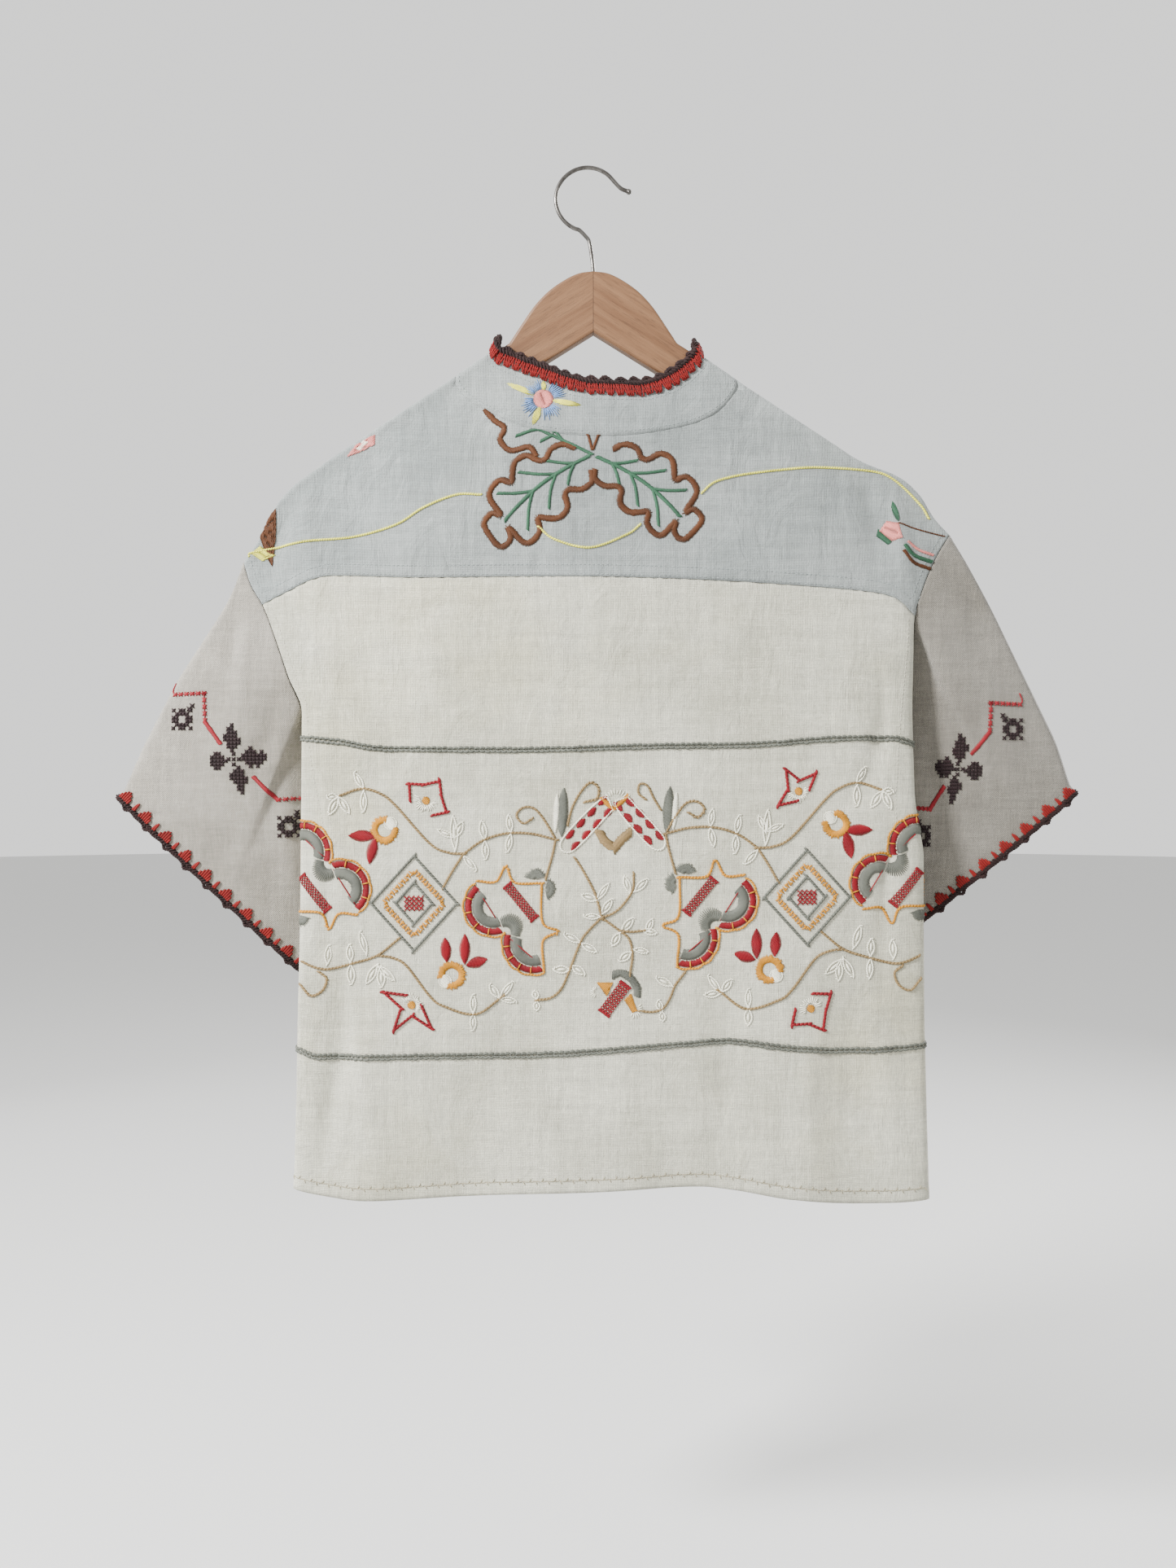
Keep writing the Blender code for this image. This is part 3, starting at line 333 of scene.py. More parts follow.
SLEEVE_CREASES = {
    -1: (
        (-312.0, -372.0, -306.0, -446.0, 9.0, -2.0),
        (-290.0, -390.0, -300.0, -500.0, 10.0, 1.5),
        (-262.0, -440.0, -300.0, -560.0, 9.0, -1.6),
        (-330.0, -430.0, -372.0, -520.0, 12.0, 1.3),
        (-256.0, -520.0, -262.0, -640.0, 9.0, 1.6),
        (-300.0, -560.0, -330.0, -620.0, 12.0, -1.0),
    ),
    1: (
        (332.0, -350.0, 342.0, -430.0, 9.0, -1.8),
        (306.0, -392.0, 322.0, -500.0, 10.0, 1.5),
        (376.0, -430.0, 396.0, -520.0, 10.0, -1.8),
        (290.0, -470.0, 316.0, -590.0, 10.0, -1.5),
        (352.0, -440.0, 366.0, -560.0, 12.0, 1.3),
        (284.0, -540.0, 296.0, -630.0, 8.0, 1.4),
    ),
}

SLEEVES = {
    -1: {"outer": (-404.0, 0.0, -541.0), "inner": (-243.0, 15.0, -698.0)},
    1: {"outer": (421.0, 0.0, -537.0), "inner": (274.0, 27.0, -666.0)},
}
# Sleeve outer edge: share of the length, push outwards on the left, on the right.
SLEEVE_PUSH = (
    (0.00, 0.0, 0.0),
    (0.15, -3.5, 3.5),
    (0.35, 0.0, 5.5),
    (0.57, 3.5, 5.5),
    (0.80, 3.0, 5.5),
    (1.00, 0.0, 0.0),
)


def smooth(rows, column=1):
    """A smooth curve through a table's rows that never overshoots them, by the first column."""
    table = np.array([[row[0], row[column]] for row in rows], dtype=float)
    at, value = table[:, 0], table[:, 1]
    step = np.diff(at)
    rise = np.diff(value) / step
    slope = np.zeros(len(at))
    slope[0], slope[-1] = rise[0], rise[-1]
    for i in range(1, len(at) - 1):
        if rise[i - 1] * rise[i] > 0:
            before, after = 2 * step[i] + step[i - 1], step[i] + 2 * step[i - 1]
            slope[i] = (before + after) / (before / rise[i - 1] + after / rise[i])

    def curve(x):
        x = np.clip(x, at[0], at[-1])
        i = np.clip(np.searchsorted(at, x) - 1, 0, len(step) - 1)
        t = (x - at[i]) / step[i]
        start = (1 + 2 * t) * (1 - t) ** 2 * value[i] + t * (1 - t) ** 2 * step[i] * slope[i]
        end = t * t * (3 - 2 * t) * value[i + 1] + t * t * (t - 1) * step[i] * slope[i + 1]
        return start + end

    return curve


ridge = smooth(RIDGE)
hem_curve = smooth(HEM)
seam_curve = smooth(YOKE_SEAM)
neck_back = smooth(NECK_BACK)
neck_front = smooth(NECK_FRONT)
SIDES = {
    -1: [smooth(LEFT_SIDE, column) for column in (1, 2, 3, 4)],
    1: [smooth(RIGHT_SIDE, column) for column in (1, 2, 3, 4)],
}


def half_width(hand, z):
    """Distance from the body's middle to its side fold; hand is -1 on the left and 1 on the right."""
    outline, back_turn, _, _ = SIDES[hand]
    turn = np.radians(np.maximum(back_turn(z), 0.0))
    return np.abs(outline(z) - BODY_MIDDLE) / np.cos(turn)


def ridge_depth(drop):
    """Distance from the ridge's middle plane to the cloth that lies over a hanger's arm."""
    drop = np.maximum(drop, 0.0)
    left = 1 - np.minimum(drop, RIDGE_RADIUS) / RIDGE_RADIUS
    return RIDGE_RADIUS * (1 - left**RIDGE_POWER) ** (1 / RIDGE_POWER)


def fold_depth(x, z, side):
    """How far the soft folds lift the panel at a point."""
    lift = 0.0
    for x_top, x_hem, top, width, depth, on in FOLDS:
        if on == side:
            down = np.maximum((top - z) / (top - LOWEST_HEM), 0.0)
            middle = x_top + (x_hem - x_top) * down
            grown = np.minimum(1.0, 1.6 * down)
            lift = lift + depth * grown * np.exp(-(((x - middle) / width) ** 2))
    return lift


def body_y(x, z, side):
    """Depth of the body's outer surface, as the cloth hangs from the ridge; side is back or front."""
    x, z = np.asarray(x, float), np.asarray(z, float)
    left = x < BODY_MIDDLE
    width = np.where(left, half_width(-1, z), half_width(1, z))
    share = np.minimum(np.abs(x - BODY_MIDDLE) / width, 1.0)
    drop = np.maximum(ridge(x) - z, 0.0)
    far = np.maximum(drop - RIDGE_RADIUS, 0.0)
    bulge = BODY_BULGE * (1 - np.exp(-far / BULGE_LENGTH)) * (1 - np.exp(-far / BULGE_START))
    nose = np.maximum(1 - share**NOSE_POWER, 0.0) ** (1 / NOSE_POWER)
    belly = np.maximum(1 - share**BULGE_POWER, 0.0) ** (1 / BULGE_POWER)
    out = ridge_depth(drop) * nose + (bulge + fold_depth(x, z, side)) * belly
    shift = np.where(left, SIDES[-1][3](z), SIDES[1][3](z)) * share**4
    return -shift - out if side == "back" else -shift + out


def stacked(x, y, z):
    """Points from their three coordinates."""
    return np.stack(np.broadcast_arrays(x, y, z), axis=-1).astype(float)


def body_points(angle, z):
    """Points at angles round the body: 0 is the middle of the back, -90 and 90 are the side folds."""
    turn = np.radians(angle)
    sine = np.sin(turn)
    width = np.where(sine < 0, half_width(-1, z), half_width(1, z))
    x = BODY_MIDDLE + width * sine
    y = np.where(np.cos(turn) >= 0, body_y(x, z, "back"), body_y(x, z, "front"))
    return stacked(x, y, z)


def back_edge(hand, z):
    """Angle round the body at which the back ends."""
    return hand * (90.0 - SIDES[hand][1](z))


def front_edge(hand, z):
    """Angle round the body at which a front ends."""
    return hand * (90.0 + SIDES[hand][2](z))


def solved(wrong, low, high):
    """Where rising functions cross nothing, all at once."""
    low, high = np.array(low, float), np.array(high, float)
    for _ in range(40):
        middle = 0.5 * (low + high)
        over = wrong(middle) > 0
        high = np.where(over, middle, high)
        low = np.where(over, low, middle)
    return 0.5 * (low + high)


def heights_on(curve, angle_of, count=1):
    """Heights at which columns, whose angles may change with height, meet a curve z(x)."""

    def wrong(z):
        return z - curve(body_points(angle_of(z), z)[..., 0])

    return solved(wrong, np.full(count, -900.0), np.full(count, -110.0))


TOP_HALF_WIDTHS = {-1: half_width(-1, ridge(RIDGE_ENDS[0])), 1: half_width(1, ridge(RIDGE_ENDS[1]))}


def column_angles(z_left, z_right):
    """Angles of the back's columns for rows that meet the side edges at these heights."""
    neck_left = math.degrees(math.asin((NECK_LEFT - BODY_MIDDLE) / TOP_HALF_WIDTHS[-1]))
    neck_right = math.degrees(math.asin((NECK_RIGHT - BODY_MIDDLE) / TOP_HALF_WIDTHS[1]))
    rows = len(z_left)
    left = np.linspace(back_edge(-1, z_left), np.full(rows, neck_left), SIDE_COLUMNS + 1, axis=1)
    middle = np.linspace(neck_left, neck_right, NECK_COLUMNS + 1)
    middle = np.repeat(middle[None, 1:], rows, axis=0)
    right = np.linspace(np.full(rows, neck_right), back_edge(1, z_right), SIDE_COLUMNS + 1, axis=1)
    return np.concatenate([left, middle, right[:, 1:]], axis=1)


def column_heights(curve):
    """Heights at which each of the back's columns meets a curve."""
    left = heights_on(curve, lambda z: back_edge(-1, z))
    right = heights_on(curve, lambda z: back_edge(1, z))
    angles = column_angles(left, right)[0]
    inner = heights_on(curve, lambda z: angles[1:-1], len(angles) - 2)
    return np.concatenate([left, inner, right])


def back_grid():
    """Rows of points from the hem to the yoke seam."""
    low = column_heights(hem_curve)
    high = column_heights(seam_curve)
    share = np.linspace(0.0, 1.0, BODY_ROWS + 1)[:, None]
    heights = low + share * (high - low)
    return body_points(column_angles(heights[:, 0], heights[:, -1]), heights)


YOKE_SHARES = np.concatenate([
    np.linspace(0.0, 0.94, 50),
    (0.952, 0.961, 0.969, 0.976, 0.982, 0.987, 0.991, 0.9943, 0.9967, 0.9984, 0.9995, 1.0),
])
NECK_ROW = 50
OVER_DROPS = (0.1, 0.35, 0.8, 1.5, 2.4, 3.6, 5.0, 6.7, RIDGE_RADIUS)
STRIP_DROPS = OVER_DROPS + (11.0, 14.0, 18.0, SHOULDER_SEAM_DROP)


def yoke_back_rows():
    """Rows from the yoke seam up to the ridge, and which of their points are cloth."""
    low = column_heights(seam_curve)
    high = column_heights(ridge)
    neck = slice(SIDE_COLUMNS + 1, SIDE_COLUMNS + NECK_COLUMNS)
    angles = column_angles(high[:1], high[-1:])[0]
    high[neck] = heights_on(neck_back, lambda z: angles[neck], NECK_COLUMNS - 1)
    share = np.repeat(YOKE_SHARES[:, None], len(low), axis=1)
    share[:, neck] = np.minimum(share[:, neck] / YOKE_SHARES[NECK_ROW], 1.0)
    heights = low + share * (high - low)
    points = body_points(column_angles(heights[:, 0], heights[:, -1]), heights)
    cloth = np.ones(heights.shape, bool)
    cloth[NECK_ROW + 1 :, neck] = False
    return points, cloth


def yoke_front_row(hand, drop, over):
    """Points from the armhole to the neck on the front side of the ridge, this far below it."""
    z = heights_on(lambda x: ridge(x) - drop, lambda height: front_edge(hand, height))[0]
    outer = body_points(front_edge(hand, z), z)[0]
    neck = NECK_LEFT if hand < 0 else NECK_RIGHT
    if drop > RIDGE_RADIUS:

        def wrong(x):
            return ridge(neck - hand * x) - drop - neck_front(neck - hand * x)

        neck -= hand * float(solved(wrong, 0.0, 30.0))
    share = (over[:, 0] - over[0, 0]) / (over[-1, 0] - over[0, 0])
    x = outer + (neck - outer) * share
    height = ridge(x) - drop
    height[0] = z
    return stacked(x, body_y(x, height, "front"), height)


def yoke_grid():
    """The whole yoke: back rows, then the strip over each shoulder ridge."""
    points, cloth = yoke_back_rows()
    over = {-1: points[-1, : SIDE_COLUMNS + 1], 1: points[-1, : -SIDE_COLUMNS - 2 : -1]}
    gap = np.zeros((NECK_COLUMNS - 1, 3))
    rows = []
    for drop in STRIP_DROPS:
        left = yoke_front_row(-1, drop, over[-1])
        right = yoke_front_row(1, drop, over[1])
        rows.append(np.concatenate([left, gap, right[::-1]]))
    strip = np.array(rows)
    strip_cloth = np.ones(strip.shape[:2], bool)
    strip_cloth[:, SIDE_COLUMNS + 1 : SIDE_COLUMNS + NECK_COLUMNS] = False
    return np.concatenate([points, strip]), np.concatenate([cloth, strip_cloth])


def front_middle(z):
    """The line where the two fronts meet, under the button band."""
    top = neck_front(FRONT_MIDDLE_TOP)
    share = (z - top) / (HEM_AT_MIDDLE - top)
    return FRONT_MIDDLE_TOP + (FRONT_MIDDLE_HEM - FRONT_MIDDLE_TOP) * share


FRONT_NECK_COLUMNS = 34


def front_grid(hand, shoulder):
    """Rows of a front panel from the hem to the shoulder seam and the neckline."""
    neck_x = shoulder[-1, 0]
    x = np.linspace(neck_x, FRONT_MIDDLE_TOP, FRONT_NECK_COLUMNS + 1)[1:]
    z = neck_front(x)
    top = np.concatenate([shoulder, stacked(x, body_y(x, z, "front"), z)])
    way = (top[:, 0] - top[0, 0]) / (top[-1, 0] - top[0, 0])
    low_edge = heights_on(hem_curve, lambda z: front_edge(hand, z))[0]
    share = np.linspace(0.0, 1.0, FRONT_ROWS + 1)
    edge_z = low_edge + share * (top[0, 2] - low_edge)
    edge = body_points(front_edge(hand, edge_z), edge_z)
    x_hem = edge[:, :1] + (FRONT_MIDDLE_HEM - edge[:, :1]) * way
    z_hem = hem_curve(x_hem)
    z_hem[:, 0] = low_edge
    z = z_hem + share[:, None] * (top[:, 2] - z_hem)
    x = edge[:, :1] + (front_middle(z) - edge[:, :1]) * way
    grid = stacked(x, body_y(x, z, "front"), z)
    grid[:, 0] = edge
    grid[-1] = top
    return grid


def distances(points):
    """Each point's distance along a line of points."""
    return np.concatenate([[0.0], np.cumsum(np.linalg.norm(np.diff(points, axis=0), axis=1))])


def travelled(points):
    """Each point's share of the way along a line of points."""
    way = distances(points)
    return way / way[-1]


def read_at(at, way, rows):
    """Rows of values, known at the distances in way, read at other distances."""
    return np.stack([np.interp(at, way, column) for column in rows.T], axis=-1)


def along(points, ways):
    """Points at shares of the way along a line of points."""
    return read_at(ways, travelled(points), points)


def armhole_line(hand, edge_of):
    """One side of the armhole from the shoulder ridge down to the underarm."""
    top = heights_on(ridge, lambda z: edge_of(hand, z))[0]
    z = top + (UNDERARM - top) * np.linspace(0.0, 1.0, 160) ** 2
    return body_points(edge_of(hand, z), z)


def sleeve_grid(hand):
    """Rings of points from the armhole to the cuff; each ring starts at the shoulder, down the back."""
    half = SLEEVE_COLUMNS // 2
    down = along(armhole_line(hand, back_edge), np.linspace(0.0, 1.0, half + 1))
    up = along(armhole_line(hand, front_edge)[::-1], np.linspace(0.0, 1.0, half + 1))
    loop = np.concatenate([down, up[1:-1]])
    way = np.arange(SLEEVE_COLUMNS) / SLEEVE_COLUMNS
    outer, inner = (np.array(SLEEVES[hand][end]) for end in ("outer", "inner"))
    middle, reach = (outer + inner) / 2, (outer - inner) / 2
    across = np.where(way <= 0.5, 1 - 4 * way, 4 * way - 3)
    thick = np.sqrt(np.maximum(1 - across**2, 0.0)) ** FLATTENED_POWER * CUFF_HALF_THICK
    ring = middle + reach * across[:, None]
    ring[:, 1] += np.where(way <= 0.5, -thick, thick)
    push = smooth(SLEEVE_PUSH, 1 if hand < 0 else 2)
    slant = outer - loop[0]
    away = np.array([slant[2], 0.0, -slant[0]])
    away *= np.sign(away[0] * hand) / np.linalg.norm(away)
    share = np.linspace(0.0, 1.0, SLEEVE_ROWS + 1)[:, None, None]
    points = loop + (ring - loop) * share
    outer_share = (np.abs(1 - 2 * way) ** PUSH_POWER)[None, :, None]
    swell = SLEEVE_SWELL * np.sin(math.pi * share) * np.sin(2 * math.pi * way)[None, :, None]
    points = points + away * push(share) * outer_share - np.array([0.0, 1.0, 0.0]) * swell
    first = points[1] - points[0]
    points[0] += first / np.linalg.norm(first, axis=1)[:, None] * ARMHOLE_GAP
    return points


def collar_top_line(rows, share):
    """Places on the collar's top at shares of the way in a table's first column."""
    return np.stack([smooth(rows, column)(share) for column in (1, 2, 3)], axis=-1)


def collar_rows(yoke, fronts):
    """The collar's seam line and its top line, from the front middle round the left and the back."""
    left, right = SIDE_COLUMNS, SIDE_COLUMNS + NECK_COLUMNS
    back_seam = yoke[NECK_ROW, left : right + 1]
    seam, top = [back_seam], [collar_top_line(COLLAR_TOP_BACK, travelled(back_seam))]
    for hand, column in ((-1, left), (1, right)):
        side_x = COLLAR_SIDES[hand]
        rows = len(YOKE_SHARES)
        over_seam = yoke[NECK_ROW + 1 : rows + len(OVER_DROPS), column]
        drops = ridge(over_seam[:, 0]) - over_seam[:, 2]
        depth = ridge_depth(drops)
        depth = np.where(np.arange(len(drops)) < rows - NECK_ROW - 1, -depth, depth)
        over_top = stacked(side_x, depth, ridge(side_x) - drops)
        neck = yoke[-1, column]
        front = np.concatenate([neck[None], fronts[hand][-1, SIDE_COLUMNS + 1 :]])
        way_in = travelled(np.concatenate([over_seam[-1:], front]))[1:]
        share = way_in * LEFT_COLLAR_SHARE if hand < 0 else 1 - way_in * (1 - LEFT_COLLAR_SHARE)
        side_seam = np.concatenate([over_seam, front])
        side_top = np.concatenate([over_top, collar_top_line(COLLAR_TOP_FRONT, share)])
        if hand < 0:
            seam.insert(0, side_seam[::-1])
            top.insert(0, side_top[::-1])
        else:
            seam.append(side_seam)
            top.append(side_top)
    return np.concatenate(seam), np.concatenate(top)


def unit(vectors):
    """Vectors with their lengths made one."""
    return vectors / np.maximum(np.linalg.norm(vectors, axis=-1, keepdims=True), 1e-9)


def array_mesh(name, points, blocks):
    """A smooth mesh from points in millimetres and arrays of faces with equal numbers of corners."""
    mesh = bpy.data.meshes.new(name)
    mesh.vertices.add(len(points))
    mesh.vertices.foreach_set("co", (np.asarray(points, float) * MM).ravel())
    corners = np.concatenate([block.ravel() for block in blocks])
    sizes = np.concatenate([np.full(len(block), block.shape[1]) for block in blocks])
    mesh.loops.add(len(corners))
    mesh.loops.foreach_set("vertex_index", corners)
    mesh.polygons.add(len(sizes))
    mesh.polygons.foreach_set("loop_start", np.concatenate([[0], np.cumsum(sizes)[:-1]]))
    mesh.update(calc_edges=True)
    mesh.shade_smooth()
    return mesh


def piece(name, mesh, material, slot):
    """Shows a mesh as a named piece that moves with the whole part."""
    obj = bpy.data.objects.new(name, mesh)
    mesh.materials.append(material)
    bpy.context.scene.collection.objects.link(obj)
    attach(obj, "root")
    return obj


def grid_faces(rows, columns, cloth=None, closed=False):
    """Four-cornered faces between a grid's points, where all four are cloth."""
    last = columns if closed else columns - 1
    i, j = np.meshgrid(np.arange(rows - 1), np.arange(last), indexing="ij")
    after = (j + 1) % columns
    corners = [i * columns + j, i * columns + after, (i + 1) * columns + after, (i + 1) * columns + j]
    quads = np.stack(corners, axis=-1).reshape(-1, 4)
    return quads if cloth is None else quads[cloth.ravel()[quads].all(axis=1)]


def grid_normals(grid, closed=False):
    """Directions square to a grid at its points."""
    if closed:
        ends = np.concatenate([grid[:, -1:], grid, grid[:, :1]], axis=1)
        across = (ends[:, 2:] - ends[:, :-2]) / 2
    else:
        across = np.gradient(grid, axis=1)
    return unit(np.cross(across, np.gradient(grid, axis=0)))


def crease_lift(x, z, creases):
    """How far the listed creases lift the cloth: soft troughs and ridges with tapered ends."""
    lift = np.zeros(np.broadcast(x, z).shape)
    for number, (x0, z0, x1, z1, width, depth) in enumerate(creases):
        run = math.hypot(x1 - x0, z1 - z0)
        ux, uz = (x1 - x0) / run, (z1 - z0) / run
        t = ((x - x0) * ux + (z - z0) * uz) / run
        bow = 0.05 * run * math.sin(2.1 * number) * np.sin(math.pi * np.clip(t, 0, 1) * 1.4)
        off = (x - x0) * uz - (z - z0) * ux - bow
        ends = np.sin(math.pi * np.clip(t, 0.0, 1.0)) ** 0.7
        wide = width * (0.75 + 0.5 * np.clip(t, 0.0, 1.0))
        lift += depth * ends * np.exp(-((off / wide) ** 2))
    return lift


def wander(x, z, size, seed):
    """A slow uneven swell between -1 and 1 from a few crossed waves."""
    turns = np.array([0.3, 1.5, 2.4, 0.9]) + seed
    value = 0.0
    for k, turn in enumerate(turns):
        run = x * math.cos(turn) + z * math.sin(turn)
        value = value + np.sin(run * (1.0 + 0.37 * k) / size + 1.7 * k + seed)
    return value / len(turns)


class Cloth:
    """A sheet through a grid of points, and the way to lay thread on it."""

    def __init__(self, name, grid, inside, lift=0.0, cloth=None, closed=False):
        self.name = name
        faces = grid_faces(*grid.shape[:2], cloth, closed)
        normals = grid_normals(grid, closed)
        used = np.unique(faces)
        away = (grid - np.array(inside)).reshape(-1, 3)[used]
        if (normals.reshape(-1, 3)[used] * away).sum() < 0:
            normals = -normals
            faces = faces[:, ::-1]
        points = (grid + normals * np.asarray(lift)[..., None]).reshape(-1, 3)
        self.points = points[used]
        number = np.zeros(len(points), int)
        number[used] = np.arange(len(used))
        self.faces = number[faces]
        self.grid = points.reshape(grid.shape)
        self.normals = normals
        self.tree = BVHTree.FromPolygons(self.points.tolist(), self.faces.tolist())

    def show(self, node, material, slot, wall=CLOTH_WALL):
        """Shows the cloth, with its wall inwards, in place of a solid."""
        obj = piece(self.name, array_mesh(self.name, self.points, [self.faces]), material, slot)
        solid = obj.modifiers.new("Wall", "SOLIDIFY")
        solid.thickness = wall * MM
        solid.offset = -1.0
        solid.use_even_offset = False
        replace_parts(obj, node)
        return obj

    def laid(self, flat, lift=0.0, hand=-1.0):
        """Places points given as x, z on the side that looks to -Y (hand -1) or to +Y (hand 1)."""
        flat = np.asarray(flat, float)
        spots = flat.reshape(-1, 2)
        places, outs = np.zeros((len(spots), 3)), np.zeros((len(spots), 3))
        aim = Vector((0.0, -hand, 0.0))
        for i, (x, z) in enumerate(spots):
            place, out, _, _ = self.tree.ray_cast(Vector((x, 400.0 * hand, z)), aim)
            if place is None:
                place, out, _, _ = self.tree.find_nearest(Vector((x, 12.0 * hand, z)))
            places[i], outs[i] = place, out
        outs = np.where(outs[:, 1:2] * hand < 0, -outs, outs)
        places += outs * np.broadcast_to(np.asarray(lift, float), flat.shape[:-1]).reshape(-1, 1)
        return places.reshape(*flat.shape[:-1], 3), outs.reshape(*flat.shape[:-1], 3)

    def snapped(self, places):
        """The nearest places on the cloth and the outward directions there."""
        spots, outs = np.zeros((len(places), 3)), np.zeros((len(places), 3))
        for i, spot in enumerate(places):
            spots[i], outs[i] = self.tree.find_nearest(Vector(spot))[:2]
        return spots, outs


def node_link(tree, start, out, end, into):
    """Links two nodes by the names of their sockets."""
    tree.links.new(start.outputs[out], end.inputs[into])


def new_material(name, roughness, metallic=0.0):
    """A material with its tree of nodes and its shader."""
    material = bpy.data.materials.new(name)
    material.use_nodes = True
    tree = material.node_tree
    shader = tree.nodes["Principled BSDF"]
    shader.inputs["Roughness"].default_value = roughness
    shader.inputs["Metallic"].default_value = metallic
    return material, tree, shader


def placed_coordinates(tree, turn=0.0, scale=(1.0, 1.0, 1.0)):
    """The piece's own coordinates, turned round Y so that X and Z follow the cloth's grain."""
    coordinates = tree.nodes.new("ShaderNodeTexCoord")
    mapping = tree.nodes.new("ShaderNodeMapping")
    mapping.inputs["Rotation"].default_value = (0.0, turn, 0.0)
    mapping.inputs["Scale"].default_value = scale
    node_link(tree, coordinates, "Object", mapping, "Vector")
    return mapping


def noise(tree, source, scale, detail=3.0, rough=0.55):
    """Soft uneven noise."""
    texture = tree.nodes.new("ShaderNodeTexNoise")
    texture.inputs["Scale"].default_value = scale
    texture.inputs["Detail"].default_value = detail
    texture.inputs["Roughness"].default_value = rough
    node_link(tree, source, "Vector", texture, "Vector")
    return texture


def wave(tree, source, scale, direction, distortion=1.0):
    """Bands across a direction, slightly bent."""
    texture = tree.nodes.new("ShaderNodeTexWave")
    texture.wave_type = "BANDS"
    texture.bands_direction = direction
    texture.inputs["Scale"].default_value = scale
    texture.inputs["Distortion"].default_value = distortion
    texture.inputs["Detail"].default_value = 2.0
    texture.inputs["Detail Scale"].default_value = 1.5
    node_link(tree, source, "Vector", texture, "Vector")
    return texture


def ramp(tree, source, out, stops):
    """A colour ramp; stops are place and colour."""
    node = tree.nodes.new("ShaderNodeValToRGB")
    while len(node.color_ramp.elements) < len(stops):
        node.color_ramp.elements.new(0.5)
    for element, (place, colour) in zip(node.color_ramp.elements, stops):
        element.position = place
        element.color = (*colour, 1.0)
    node_link(tree, source, out, node, "Fac")
    return node


def mixed(tree, kind, factor, first, second):
    """Mixes two colours; each input is a node's output or a plain value."""
    node = tree.nodes.new("ShaderNodeMix")
    node.data_type = "RGBA"
    node.blend_type = kind
    for socket, value in ((0, factor), (6, first), (7, second)):
        if isinstance(value, bpy.types.NodeSocket):
            tree.links.new(value, node.inputs[socket])
        elif socket == 0:
            node.inputs[socket].default_value = value
        else:
            node.inputs[socket].default_value = (*value, 1.0)
    return node.outputs[2]


def counted(tree, operation, first, second):
    """A sum of two values; each input is a node's output or a plain number."""
    node = tree.nodes.new("ShaderNodeMath")
    node.operation = operation
    for socket, value in ((0, first), (1, second)):
        if isinstance(value, bpy.types.NodeSocket):
            tree.links.new(value, node.inputs[socket])
        else:
            node.inputs[socket].default_value = value
    return node.outputs[0]


def bumped(tree, shader, height, distance, strength=1.0):
    """Lets a height roughen the shader's surface."""
    bump = tree.nodes.new("ShaderNodeBump")
    bump.inputs["Strength"].default_value = strength
    bump.inputs["Distance"].default_value = distance
    tree.links.new(height, bump.inputs["Height"])
    node_link(tree, bump, "Normal", shader, "Normal")


